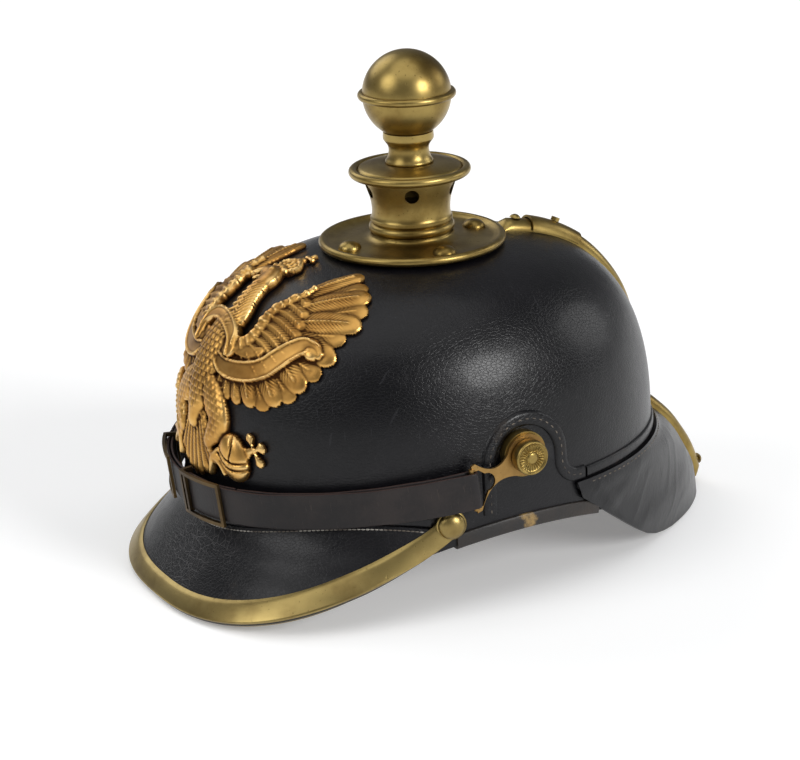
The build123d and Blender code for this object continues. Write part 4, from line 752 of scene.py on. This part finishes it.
def crown_fittings():
    """The base plate, its studs, the neck's cap and the ball with its foot, all turned."""
    cove = np.radians(np.linspace(90, 0, 14))
    crown_piece("crown_base_plate", ("base_plate",), np.vstack([
        np.stack([24.0 - 5.4 * np.sin(cove), 4.6 - 2.3 * np.cos(cove)], -1),
        [(26.5, 1.9), (30.0, 1.6), (36.0, 1.1)],
        arc_points(40.5, 1.2, 2.0, 150, -90, 18),
        [(38.0, 0.0), (23.0, 0.0), (17.6, 4.6), (17.6, 4.7)],
    ]), 160)
    part = Part("crown_plate_studs", SATIN_BRASS, stands_for=("base_plate_studs",), slot="brass")
    for x, y in arc_points(0, 0, STUD_CIRCLE, 0, 270, 4):
        turned(part, dome_profile(5.3, 3.7), (x, y, CROWN + 1.3), (0, 0, 1), 48)
    part.make(50)
    dome = np.linspace(0, 1, 12)
    crown_piece("neck_rolled_cap", ("neck_cap",), np.vstack([
        [(4.1, 35.6), (4.1, 36.6), (10.6, 36.6)],
        np.stack([10.8 + 12.2 * dome, 36.9 - 2.0 * dome**2.2], -1)[1:],
        arc_points(25.6, 33.1, 2.0, 170, -170, 26),
        [(22.0, 32.0), (17.7, 32.0), (10.8, 35.5)],
    ])[::-1], 160)
    waist = [(10.8, 37.7), (9.7, 39.6), (9.1, 42.4), (9.5, 45.0), (11.2, 47.4), (11.5, 48.6)]
    crown_piece("ball_turned_foot", ("ball_foot",), np.vstack([
        [(0, 25.0), (4.0, 25.0), (4.0, 36.65), (10.4, 36.65), (10.8, 37.0), (10.8, 37.7)],
        smooth_path(waist, 24)[1:],
        [(11.3, 51.0), (0, 51.5)],
    ]), 128, "ball")
    globe = arc_points(0, 0, BALL_RADIUS, -90, 90, 80)
    crown_piece("ball_globe", ("ball_lower", "ball_upper"), globe, 144, "ball", BALL_LEVEL, None)
    bead = arc_points(BALL_RADIUS + 0.4, 0, 1.7, -180, 180, 33)
    crown_piece("ball_seam_ring", ("ball_ring",), bead, 144, "ball", BALL_LEVEL, None)


def side_fittings():
    """Trim studs and the fluted posts at the ears; the posts' flutes are a cosine round the face."""
    part = Part("trim_domed_studs", TRIM_BRASS, stands_for=("visor_trim_studs",), slot="brass")
    for side in (1, -1):
        turned(part, dome_profile(6.1, 3.8, 18), *trim_stud_axis(side), 72)
    part.make(50)
    rows = 120
    outline = np.vstack([
        [(0, 88), (3.2, 88), (3.2, 98.4), (7.2, 98.4), (7.7, 98.8), (7.8, 101.0), (7.7, 103.2), (7.3, 103.8),
         (6.9, 103.9), (6.5, 103.5), (6.0, 103.1), (5.0, 102.9), (4.0, 102.9), (3.2, 103.0), (2.7, 103.1),
         (2.6, 103.3)],
        arc_points(0, 0, 1, 10, 90, 9) * (2.5, 0.7) + (0, 103.3),
    ])
    share = np.linspace(0, len(outline) - 1, rows)
    profile = np.stack([np.interp(share, np.arange(len(outline)), outline[:, i]) for i in (0, 1)], -1)
    face = np.arange(rows)[:, None] > 50

    def flutes(radius, turn):
        """How far the face stands out: 26 waves round it, within a band of radius."""
        return 0.42 * np.clip(np.cos(26 * turn), -0.2, 1) * ((radius > 2.9) & (radius < 6.4)) * face

    for name, side in (("left", 1), ("right", -1)):
        part = Part("ear_post_knob_" + name, SATIN_BRASS, stands_for=("side_post_" + name,), slot="brass")
        turned(part, profile, (0, POST_ALONG, POST_LEVEL), (side, 0, 0), 208, flutes).make(60)


def spine_piece():
    """The rear spine: a half-round channel laid over the skull and down the rear visor."""
    levels = np.array([9.0, 2.0, -6.0, -14.0, -22.0, -30.0, -38.0])
    visor = REAR_FORM(np.full(len(levels), np.pi / 2), levels)[:, 1:] + [0.25, 0]
    over = [(y, top_level(y)) for y in (43.5, 57.0, 70.0, 84.0, 96.0)]
    back = [(105.5, 63.0), (110.8, 46.0), (111.9, 30.0), (113.0, 18.0)]
    rows = 120
    path = smooth_path(np.vstack([over, back, visor]), rows)
    out = square_to(path)
    out *= np.sign(out[:, :1] + out[:, 1:])
    turn = np.radians(np.linspace(0, 180, 21))[:, None]
    end = np.minimum(1, np.minimum(np.arange(rows), np.arange(rows)[::-1]) / 3.0) ** 0.5
    x = 5.5 * np.cos(turn) + 0 * end
    raised = path + (5.0 * np.sin(turn) * end)[..., None] * out
    under = np.broadcast_to(path - 0.6 * out, raised.shape)
    top = np.concatenate([x[..., None], raised], -1)
    low = np.concatenate([x[::-1, :, None], under], -1)
    part = Part("rear_spine_channel", SATIN_BRASS, stands_for=("rear_spine",), slot="brass")
    part.grid(np.concatenate([top, low[1:-1]]), True, caps=True).make(50)


# Front plate
PLATE_RIGHT, PLATE_UP = np.array([1.0, 0, 0]), np.array([0, 0.695, 0.719])
PLATE_OUT, PLATE_AT = np.array([0, -0.719, 0.695]), np.array([0, -80.0, 70.0])
PLATE_SHIFT = 3.0
CELL = 0.43


class Relief:
    """A height over the plate's plane, on a square net; places count from the eagle's middle line."""

    def __init__(self):
        self.x, self.y = np.meshgrid(np.arange(-60, 62.5, CELL), np.arange(-61, 55, CELL))
        self.height = np.zeros_like(self.x)

    def stroke(self, points, widths, base, rise, ribs=0.0, pitch=1.5, quill=0.0, beads=0.0, sharp=2.4,
               side=1):
        """Raises a band along a smooth path: its half widths follow the path; ribs are slanting lines,
        quill is a raised middle line and beads are bumps along it. A side of -1 mirrors it."""
        path = smooth_path(np.asarray(points, float) * (side, 1) + (PLATE_SHIFT, 0), max(12, 5 * len(points)))
        half = np.interp(np.linspace(0, 1, len(path)), np.linspace(0, 1, len(widths)), widths)
        low, high = path.min(0) - max(widths) - 1, path.max(0) + max(widths) + 1
        c = np.flatnonzero((self.x[0] > low[0]) & (self.x[0] < high[0]))
        r = np.flatnonzero((self.y[:, 0] > low[1]) & (self.y[:, 0] < high[1]))
        window = np.s_[r[0]:r[-1] + 1, c[0]:c[-1] + 1]
        p = np.stack([self.x[window], self.y[window]], -1)[..., None, :]
        a, d = path[:-1], np.diff(path, axis=0)
        length = np.linalg.norm(d, axis=1)
        t = np.clip(np.sum((p - a) * d, -1) / np.maximum(length**2, 1e-9), 0, 1)
        away = np.linalg.norm(p - a - t[..., None] * d, axis=-1)
        best = away.argmin(-1)[..., None]
        away, t = (np.take_along_axis(values, best, -1)[..., 0] for values in (away, t))
        along = (best[..., 0] + t) / len(d)
        width = np.interp(along, np.linspace(0, 1, len(half)), half)
        offset = away / np.maximum(width, 1e-3)
        run = along * length.sum()
        body = np.clip(1 - offset**sharp, 0, 1) ** 0.5
        made = base + rise * body + quill * np.exp(-((offset * width / 0.45) ** 2))
        if ribs:
            fade = np.clip((0.985 - along) / 0.09, 0, 1)
            made = made + fade * ribs * np.sin(2 * np.pi * (run - 0.9 * offset * width) / pitch) * body
        if beads:
            made = made + beads * np.clip(np.cos(2 * np.pi * run / (3.1 * beads + 1.2)), 0, 1) * body
        old = self.height[window]
        self.height[window] = np.where(offset < 1, np.maximum(old, made), old)

    def feather(self, root, tip, bow, widths, *heights, side=1):
        """A stroke from a root to a tip, with its middle moved by a bow."""
        self.stroke([root, np.add(root, tip) / 2 + bow, tip], widths, *heights, side=side)

    def scales(self, x, y, across, up, pitch, depth):
        """Adds overlapping scale-like feathers within an oval where the relief stands."""
        x = self.x - x - PLATE_SHIFT
        v = (self.y - y) / (0.85 * pitch)
        u = x / pitch + 0.5 * (np.floor(v) % 2)
        du, dv = 2 * (u % 1) - 1, v % 1
        bump = np.clip(1 - du**2 - 0.2 * (1 - dv), 0, 1) ** 0.5 * (1 - 0.75 * dv)
        inside = np.clip(4 * (1 - (x / across) ** 2 - ((self.y - y) / up) ** 2), 0, 1)
        self.height = np.where(self.height > 1.0, self.height + depth * (bump - 0.4) * inside, self.height)

    def knob(self, x, y, radius, base, rise):
        """Raises a round boss."""
        share = np.hypot(self.x - x - PLATE_SHIFT, self.y - y) / radius
        made = base + rise * np.sqrt(np.clip(1 - share**2, 0, 1))
        self.height = np.where(share < 1, np.maximum(self.height, made), self.height)

    def carve(self, points, half, depth):
        """Cuts a groove along a path where the relief stands."""
        before = self.height
        self.height = np.zeros_like(before)
        self.stroke(points, (half, half), 0.01, depth)
        self.height = np.where(before > 0, np.maximum(before - self.height, 0.35), 0)


def wing(relief, side):
    """One wing: rows of feathers from its long tips in to its beaded leading edge."""
    behind = (((27.0, 18.0), (36.0, 42.5)), ((29.0, 13.0), (46.5, 34.5)), ((30.0, 8.0), (49.5, 20.0)),
              ((30.0, 2.0), (50.0, 2.6)), ((27.0, -3.0), (45.0, -10.5)), ((23.0, -7.0), (36.5, -19.0)))
    for root, tip in behind:
        relief.feather(root, tip, (1.0, 0), (3.4, 5.4, 4.8), 0.9, 0.9, 0.14, 1.5, 0.35, side=side)
    long_feathers = (
        ((24.5, 20.0), (29.2, 49.7), 4.6), ((27.0, 16.0), (43.8, 43.3), 5.6),
        ((29.5, 11.0), (53.0, 30.7), 6.0), ((31.0, 5.0), (55.4, 12.4), 6.0),
        ((29.0, -1.0), (51.3, -5.4), 5.8), ((25.0, -5.0), (44.1, -17.0), 5.4),
        ((20.0, -8.0), (33.4, -24.0), 4.8))
    for root, tip, w in long_feathers:
        bow = (-0.5, 2.2 if tip[1] < 20 else 0.6)
        tip = tip - 0.72 * w * unit(np.subtract(tip, root))
        widths = (w * 0.55, w * 0.85, w, w * 0.84)
        relief.feather(root, tip, bow, widths, 1.2, 1.5, 0.26, 1.45, 0.75, side=side)
    inner = (((15.5, -10.5), (24.5, -24.3)), ((12.5, -12.0), (18.3, -25.1)), ((10.0, -12.5), (13.0, -22.5)))
    for root, tip in inner:
        relief.feather(root, tip, (1.5, 0), (2.4, 3.0, 3.2), 1.0, 1.4, 0.18, 1.4, 0.6, side=side)
    for share in np.linspace(0, 1, 9):
        root = (22.0 + 1.0 * share, 22.5 - 29.0 * share)
        tip = (30.0 + 9.5 * np.sin(np.pi * share * 0.92), 24.5 - 36.0 * share)
        relief.feather(root, tip, (-1.75, 1.05), (2.2, 2.8, 2.7), 2.0, 1.5, 0.18, 1.3, 0.5, side=side)
    edge = ((25.4, 32.0), (25.0, 25.0), (22.4, 19.0), (21.0, 12.5), (21.8, 6.1), (21.2, -0.5), (17.0, -5.5),
            (11.6, -10.5))
    relief.stroke(edge, (1.2, 2.1, 2.6, 2.9, 3.0, 3.2, 3.4, 3.0), 2.6, 1.7, beads=0.75, side=side)
    for x, y in ((23.6, 24.0), (20.6, 16.2), (20.2, 8.4), (20.9, 1.4)):
        relief.knob(side * x, y, 2.1, 3.6, 1.1)


def leg(relief, side):
    """One leg: a scaled thigh, a beaded shank and four claws."""
    thigh = ((4.5, -24.0), (12.0, -30.0), (17.0, -37.0), (12.5, -45.5))
    relief.stroke(thigh, (4.5, 7.0, 6.4, 3.2), 1.6, 2.9, side=side)
    relief.scales(side * 12.0, -33.5, 9.5, 13.0, 2.6, 0.6)
    shank = ((12.5, -45.0), (14.5, -49.0), (17.0, -50.5))
    relief.stroke(shank, (2.0, 1.7, 1.8), 2.2, 1.5, beads=0.5, side=side)
    for dx, dy in ((7.5, -3.5), (8.0, 2.0), (5.0, 5.5), (-1.5, -6.5)):
        claw = ((16.0, -49.5), (16.0 + dx * 0.6, -49.0 + dy * 0.4), (16.0 + dx, -49.5 + dy))
        relief.stroke(claw, (1.7, 1.5, 0.8), 2.4, 1.7, side=side)


def head(relief):
    """The neck with its hackles, the head with beak and eye, and the crown above it."""
    neck = ((2.5, -4.0), (5.0, 4.0), (2.0, 12.0), (-1.0, 20.0), (-2.0, 25.0))
    relief.stroke(neck, (7.5, 6.4, 5.4, 5.0, 5.4), 2.2, 2.9, 0.28, 1.7)
    for k in range(8):
        hackle = ((4.2 - 0.8 * k, 1.0 + 3.0 * k), (1.0 - 0.6 * k, -1.5 + 3.0 * k))
        relief.stroke(hackle, (1.2, 1.0), 4.6, 0.7)
    relief.stroke(((-1.0, 24.0), (-3.5, 27.2), (-8.0, 27.6)), (5.0, 4.6, 3.2), 2.8, 2.7, sharp=2.0)
    relief.stroke(((-7.0, 28.0), (-11.5, 27.6), (-14.6, 24.6), (-14.3, 22.6)), (2.6, 2.2, 1.4, 0.6), 2.6, 1.9)
    relief.stroke(((-7.5, 25.0), (-10.6, 23.6), (-12.0, 21.8)), (1.5, 1.2, 0.7), 2.2, 1.3)
    relief.knob(-3.9, 28.6, 1.25, 5.3, 0.8)
    relief.stroke(((-8.6, 31.6), (-4.8, 32.4), (-0.8, 31.8)), (1.5, 1.6, 1.5), 2.6, 1.6, beads=0.55)
    for x, bow in ((-9.4, -3.2), (-6.9, -1.6), (-4.8, 0.0), (-2.7, 1.6), (-0.2, 3.2)):
        hoop = ((x, 32.5), (-4.8 + 2.05 * bow, 36.6), (-4.9 + 0.3 * bow, 40.3))
        relief.stroke(hoop, (0.85, 0.9, 0.8), 1.9, 1.2, beads=0.4)
    relief.stroke(((-9.2, 33.5), (-4.8, 37.5), (-0.4, 33.5)), (2.6, 3.4, 2.6), 1.0, 0.5)
    relief.knob(-4.9, 41.2, 1.5, 1.6, 1.4)
    for dx, dy in ((0, 1), (1, 0.1), (-1, 0.1)):
        relief.stroke(((-4.9, 43.6), (-4.9 + 2.3 * dx, 43.6 + 2.6 * dy)), (0.55, 1.2), 1.5, 0.9)


def ribbon(relief):
    """The bare ribbon: a flat band with two raised rails on each wing, its tails, and the loop between."""
    route = ((7.7, -14.0), (13.0, -16.0), (19.1, -15.6), (27.1, -12.9), (33.9, -7.9), (38.2, -0.5),
             (42.5, 7.6), (46.2, 11.4), (49.5, 9.8))
    line = smooth_path(route, 40)
    rail_places = (1.8, 3.1, 3.5, 3.6, 3.5, 3.4, 3.1, 2.5, 1.8)
    offset = np.interp(np.linspace(0, 1, 40), np.linspace(0, 1, 9), rail_places)[:, None] * square_to(line)
    for side in (1, -1):
        relief.stroke(route, (2.2, 3.6, 4.0, 4.1, 4.0, 3.9, 3.6, 3.0, 2.2), 3.5, 0.35, sharp=8.0, side=side)
        for rail in (line - offset, line + offset):
            relief.stroke(rail[::4], (0.5, 0.5), 4.0, 0.85, side=side)
        tail = ((10.0, -8.0), (16.5, -6.8), (24.0, -5.8), (29.5, -2.5))
        relief.stroke(tail, (3.0, 3.0, 2.7, 1.6), 3.2, 0.6, sharp=6.0, side=side)
        relief.knob(side * 47.8, 8.2, 2.7, 3.4, 1.3)
    loop = ((-14.5, -10.0), (-13.8, -3.0), (-7.2, 1.6), (3.2, 0.6), (11.3, -3.3), (14.2, -9.4))
    relief.stroke(loop, (3.0, 3.4, 3.4, 3.4, 3.4, 3.0), 4.4, 0.7, sharp=8.0)
    for dy in (-2.5, 2.5):
        relief.stroke([(x * (1 + 0.012 * dy), y + dy) for x, y in loop], (0.5, 0.5), 5.0, 0.85)


def orb_and_sceptre(relief):
    """The banded orb with its cross, and the beaded sceptre."""
    x, y = 27.3, -45.6
    relief.knob(x, y, 8.0, 1.4, 4.4)
    for groove in (((-8.2, 1.0), (0, -1.2), (8.2, 1.6)), ((-8.2, -1.4), (0, -3.6), (8.2, -0.8)),
                   ((-1.0, 8.0), (0.6, 4.0), (0, -1.0))):
        relief.carve(np.array(groove) + (x, y), 0.5, 0.9)
    cross = np.array([37.3, -38.3])
    relief.stroke([(x + 5.0, y + 4.0), cross], (1.2, 1.2), 1.6, 1.0)
    for away in arc_points(0, 0, 1, 40, 310, 4):
        arm = [cross, cross + 2.0 * away, cross + 3.7 * away]
        relief.stroke(arm, (0.6, 0.8, 2.0), 1.6, 0.9, sharp=6.0, quill=0.4)
    rod = ((-16.0, -49.0), (-26.0, -44.0), (-37.0, -36.0), (-43.0, -31.0))
    relief.stroke(rod, (1.3, 1.2, 1.1, 1.0), 1.6, 1.5, beads=0.4)
    relief.stroke(((-40.5, -33.5), (-45.5, -28.8)), (1.8, 2.8), 1.8, 1.9, beads=0.5)
    relief.knob(-46.6, -27.4, 2.2, 1.8, 2.0)


def eagle():
    """The heraldic eagle in low relief, each part raised over the ones made before it."""
    relief = Relief()
    wing(relief, 1)
    wing(relief, -1)
    for x in np.linspace(-13.0, 13.0, 7):
        feather = ((0.25 * x, -34.0), (0.7 * x, -47.0), (x, -58.5 + 0.035 * x * x))
        relief.stroke(feather, (2.0, 3.0, 3.2, 2.6), 0.9, 1.5, 0.2, 1.4, 0.6)
    leg(relief, 1)
    leg(relief, -1)
    breast = ((0, -2.0), (0.5, -10.0), (0.0, -20.0), (0, -34.0), (0, -41.0))
    relief.stroke(breast, (7.5, 10.0, 9.8, 6.5, 3.6), 1.8, 3.6, sharp=2.0)
    relief.scales(0, -19.0, 9.5, 19.0, 2.9, 0.9)
    head(relief)
    ribbon(relief)
    orb_and_sceptre(relief)
    return relief


def smeared(values, reach):
    """Each value replaced by the mean of a square round it, by running sums."""
    for axis in (0, 1):
        first, last = (np.take(values, [end], axis) for end in (0, -1))
        padded = [np.repeat(first, reach + 1, axis), values, np.repeat(last, reach, axis)]
        total, start = np.cumsum(np.concatenate(padded, axis), axis), np.arange(values.shape[axis])
        width = 2 * reach + 1
        values = (np.take(total, start + width, axis) - np.take(total, start, axis)) / width
    return values


def onto_skull(x, y, grow):
    """The point of the grown skull that lies square above or below a place on the plate's plane."""
    start = PLATE_AT + x[..., None] * PLATE_RIGHT + y[..., None] * PLATE_UP
    low, high = np.full(x.shape, -75.0), np.full(x.shape, 70.0)
    for _ in range(40):
        middle = (low + high) / 2
        point = start + middle[..., None] * PLATE_OUT
        plan = (point[..., 0] / (WIDTH + grow)) ** 2 + (point[..., 1] / (LENGTH + grow)) ** 2
        value = plan ** (POWER / 2) + np.clip(point[..., 2] / (HEIGHT + grow), 0, None) ** POWER
        low, high = np.where(value < 1, middle, low), np.where(value < 1, high, middle)
    return start + low[..., None] * PLATE_OUT


def eagle_piece():
    """The eagle as a net of points over the skull, raised by the relief, with its rim turned down."""
    relief = eagle()
    height = relief.height
    kept = height > 0
    soft = np.where(kept, smeared(height, 1) * 0.35 + height * 0.65, height)
    filled = np.where(kept, soft, 0.6)
    # near and far give painted shade in the recesses and a painted highlight on the high places: the height
    # against its mean over small and larger squares
    near, far = soft - smeared(filled, 2), soft - smeared(smeared(filled, 5), 4)
    shade = np.clip(0.5 + 0.4 * near + 0.22 * far, 0, 1).ravel()
    cell = kept[:-1, :-1] & kept[1:, :-1] & kept[:-1, 1:] & kept[1:, 1:]
    skin = onto_skull(relief.x, relief.y, 0.4)
    front = (skin + soft[..., None] * skull_normal(skin)).reshape(-1, 3)
    quads = grid_faces(*height.shape, False, False)[cell.ravel()]
    edges = np.concatenate([quads[:, [i, (i + 1) % 4]] for i in range(4)])
    key = np.sort(edges, 1) @ np.array([height.size, 1])
    _, index, times = np.unique(key, return_index=True, return_counts=True)
    rim = edges[index[times == 1]]
    walls = np.concatenate([rim[:, ::-1], rim + height.size], 1)
    points = np.concatenate([front, skin.reshape(-1, 3)])
    faces = outward(points, np.concatenate([quads, quads[:, ::-1] + height.size, walls]), None)
    used, packed = np.unique(faces, return_inverse=True)
    # the back and the walls get a low shade value: painted shade
    shades = np.concatenate([shade, np.full_like(shade, 0.2)])[used]
    replaced = ("front_plate", "front_plate_screws")
    part = Part("eagle_front_plate", GILT, stands_for=replaced, slot="gilt_brass")
    part.cells(points[used], packed.reshape(faces.shape), shade=shades).make(40)


# Chinstrap and liner


def strap_point(x, v, h):
    """A place in the strap's leaning plane: across, along and up its height."""
    y = STRAP_ALONG + v * np.cos(LEAN) - h * np.sin(LEAN)
    z = STRAP_LEVEL + v * np.sin(LEAN) + h * np.cos(LEAN)
    return np.stack(np.broadcast_arrays(x, y, z), -1)


def strap_run(side, radius, reach, turn_from):
    """One layer's centre line: the front arc, then an arc tangent to it that ends at the bar."""
    centre = STRAP_FRONT - STRAP_REACH / np.cos(LEAN)
    arc = arc_points(0, centre, radius, turn_from - 90, STRAP_ARC_END - 90, 60)
    start, finish = arc[-1], np.array([reach, 0.0])
    end = np.radians(STRAP_ARC_END)
    square = np.array([-np.sin(end), np.cos(end)])
    chord = finish - start
    size = chord @ chord / (2 * chord @ square)
    middle = start + size * square
    first, last = (np.degrees(np.arctan2(*(place - middle)[::-1])) for place in (start, finish))
    bend = arc_points(*middle, abs(size), first, last, 50)[1:]
    return np.concatenate([arc, bend]) * (side, 1)


def strap_piece(name, side, outer_from, inner_from):
    """A strap: its outer layer, the loop round the bar, and its inner layer, as one rounded band."""
    outer = strap_run(side, STRAP_OUTER, STRAP_BAR + STRAP_LOOP, outer_from)
    inner = strap_run(side, STRAP_INNER, STRAP_BAR - STRAP_LOOP, inner_from)
    loop = arc_points(STRAP_BAR, 0, STRAP_LOOP, 0, 180, 12)[1:-1] * (side, 1)
    path = np.concatenate([outer, loop, inner[::-1]])
    distance = distances(path)[None]
    turn = full_turn(28).T
    across = 0.7 * np.sign(np.sin(turn)) * np.abs(np.sin(turn)) ** 0.35
    height = 8.25 * np.sign(np.cos(turn)) * np.abs(np.cos(turn)) ** 0.28
    wave = 1 + 0.012 * np.sin(distance / 9.0) + 0.008 * np.sin(distance / 3.7 + 1)
    place = path + across[..., None] * square_to(path)
    points = strap_point(place[..., 0], place[..., 1], height * wave)
    uv = np.stack(np.broadcast_arrays(distance, height), -1)
    shade = np.broadcast_to(np.abs(np.cos(turn)) ** 6, points.shape[:2])
    part = Part("strap_" + name, STRAP, "chinstrap", ("chinstrap_" + name,), "strap_leather")
    part.grid(points, True, uv=uv, shade=shade, caps=True).make(60)


def liner():
    """The sweatband, and soft leather fingers that rise from it and fold over at their tops."""
    turn = full_turn(240)
    section = smooth_path([(6.7, 40.0), (6.6, 20.0), (6.6, -4.0), (5.0, -6.6), (3.4, -7.4), (4.6, -8.0),
                           (7.4, -7.6), (8.0, -5.0), (8.05, 20.0), (8.0, 39.6), (7.3, 40.4)], 60)
    inset, level = section[:, :1], section[:, 1:]
    lift = (edge_level(-LENGTH * np.sin(turn)) + SKIRT) * np.clip(1 - (level + 8) / 30.0, 0, 1)
    band = np.stack([(WIDTH - inset) * np.cos(turn), -(LENGTH - inset) * np.sin(turn), level + lift], -1)
    part = Part("sweatband_leather", LINER_LEATHER, stands_for=("sweatband",), slot="liner_leather")
    part.grid(band, True, True).make(60)
    part = Part("liner_leather_fingers", LINER_LEATHER, stands_for=("liner_fingers",), slot="liner_leather")
    root_radius, root_level, leather = 103.2, 33.0, 1.2
    profile = smooth_path(
        [(root_radius, root_level), (103.0, 44.0), (98.0, 60.0), (84.0, 74.0), (64.0, 81.0), (41.0, 84.0)], 30
    )
    span, climb = np.linspace(-1, 1, 23)[None, :], np.linspace(0, 1, 30)[:, None]
    half = np.radians(17.6) * (1 - 0.07 * climb)
    rise = (profile[:, 1:] - root_level) * (1 - 0.10 * span**2 * climb)
    level = root_level + rise - 1.6 * (1 - np.cos(2.6 * span)) * climb
    for finger in range(10):
        turn = np.radians(36 * finger + 18) + half * span
        radius = profile[:, :1] + 0.9 * np.sin(3 * span + finger) * climb * (1 - span**2)
        x = radius * (1 - (LENGTH - WIDTH) / root_radius) * np.cos(turn)
        outer = np.stack([x, -radius * np.sin(turn), level], -1)
        inner = outer - leather * grid_normals(outer, (0, 0, 20))
        part.grid(np.concatenate([outer, inner[::-1]]), True, caps=True)
    part.make(60)


# Stage, light and camera


def floor_and_world():
    """A pale floor that fades into the background, in a dim world."""
    f = Finish("pale_floor")
    seen = f.node("LightPath", {}, {}, "Is Camera Ray") + f.node("LightPath", {}, {}, "Is Glossy Ray")
    seen = seen + f.node("LightPath", {}, {}, "Is Transmission Ray")
    glow = f.mix(seen, (0.0, 0.0, 0.0), (0.24, 0.24, 0.24))
    surface = f.node("BsdfPrincipled", {}, {
        "Base Color": (0.86, 0.86, 0.86), "Roughness": 0.95, "Specular IOR Level": 0.0,
        "Emission Color": glow, "Emission Strength": 1.0,
    })
    mesh = bpy.data.meshes.new("floor")
    size = 14.0
    corners = [(-size, -size, 0), (size, -size, 0), (size, size, 0), (-size, size, 0)]
    mesh.from_pydata(corners, [], [(0, 1, 2, 3)])
    mesh.materials.append(f.end(surface))
    floor = bpy.data.objects.new("floor", mesh)
    bpy.context.scene.collection.objects.link(floor)
    world = bpy.data.worlds.new("studio")
    bpy.context.scene.world = world
    world.use_nodes = True
    tree = world.node_tree
    tree.nodes.clear()
    soft, output = tree.nodes.new("ShaderNodeBackground"), tree.nodes.new("ShaderNodeOutputWorld")
    soft.inputs["Color"].default_value = (0.95, 0.97, 1.0, 1)
    soft.inputs["Strength"].default_value = 0.2
    tree.links.new(soft.outputs[0], output.inputs["Surface"])


def direction(azimuth, elevation):
    """The way from the helmet to a place, by its azimuth from the front and its elevation, in radians."""
    level = np.cos(elevation)
    return np.array([np.sin(azimuth) * level, -np.cos(azimuth) * level, np.sin(elevation)])


def lamps():
    """Soft distant lamps, each with its azimuth, elevation and spread in degrees, and its level."""
    for name, azimuth, elevation, spread, level in (
        ("key_light", 111.5, 24.0, 22.0, 1.9),
        ("top_light", 60.0, 80.0, 62.0, 0.85),
        ("front_light", 4.0, 34.0, 34.0, 0.8),
        ("back_light", 172.0, 20.0, 26.0, 0.4),
        ("far_light", 285.0, 34.0, 40.0, 0.6),
    ):
        light = bpy.data.lights.new(name, "SUN")
        light.angle, light.energy = np.radians(spread), level
        lamp = bpy.data.objects.new(name, light)
        away = Vector(direction(*np.radians((azimuth, elevation))))
        lamp.location = 2.0 * away
        lamp.rotation_euler = away.to_track_quat("Z", "Y").to_euler()
        bpy.context.scene.collection.objects.link(lamp)


def photo_camera():
    """The photograph's camera, fitted on a frame whose crown axis leans by a tilt that undo takes away."""
    azimuth, elevation, tilt = np.radians((62.9704, 17.5890, 2.49533))
    across, up, distance = -5.60168, -63.32163, 1300.0
    focal_pixels, picture_width, sensor = 2868.67, 800.0, 36.0
    back = direction(azimuth, elevation)
    right = np.array([np.cos(azimuth), np.sin(azimuth), 0.0])
    above = np.cross(back, right)
    seat = across * right + up * above + distance * back
    undo = np.array([[1, 0, 0], [0, np.cos(tilt), np.sin(tilt)], [0, -np.sin(tilt), np.cos(tilt)]])
    axes = placed(np.stack([right, above, back]) @ undo.T * 1000.0) - placed(np.zeros(3))
    data = bpy.data.cameras.new("photo_camera")
    data.sensor_fit, data.sensor_width = "HORIZONTAL", sensor
    data.lens = focal_pixels * sensor / picture_width
    data.clip_start, data.clip_end = 0.05, 50.0
    camera = bpy.data.objects.new("photo_camera", data)
    rotation = Matrix([list(row) for row in axes.T])
    camera.matrix_world = Matrix.Translation(Vector(placed(undo @ seat + [0, 0, HEIGHT]))) @ rotation.to_4x4()
    bpy.context.scene.collection.objects.link(camera)
    bpy.context.scene.camera = camera
    bpy.context.scene.view_settings.view_transform = "Standard"


floor_and_world()
lamps()
photo_camera()
skull_piece()
front_visor_piece()
trim_piece()
rear_visor_piece()
welts()
stitches()
crown_fittings()
side_fittings()
spine_piece()
eagle_piece()
strap_piece("left", 1, -35.0, 26.0)
strap_piece("right", -1, 36.0, -25.0)
liner()

CAD_FINISHES = {
    "brass": SATIN_BRASS, "gilt_brass": GILT, "copper_brass": COPPERY, "dark_brass": DARK_BRASS, "iron": IRON,
    "black_leather": SKULL_LEATHER, "worn_leather": BINDING_LEATHER, "strap_leather": STRAP,
    "liner_leather": LINER_LEATHER,
}
for entry in frame["record"]["subparts"]:
    solid = nodes[entry["node"]]
    solid.data.materials.clear()
    solid.data.materials.append(CAD_FINISHES[entry["material_slot"]])
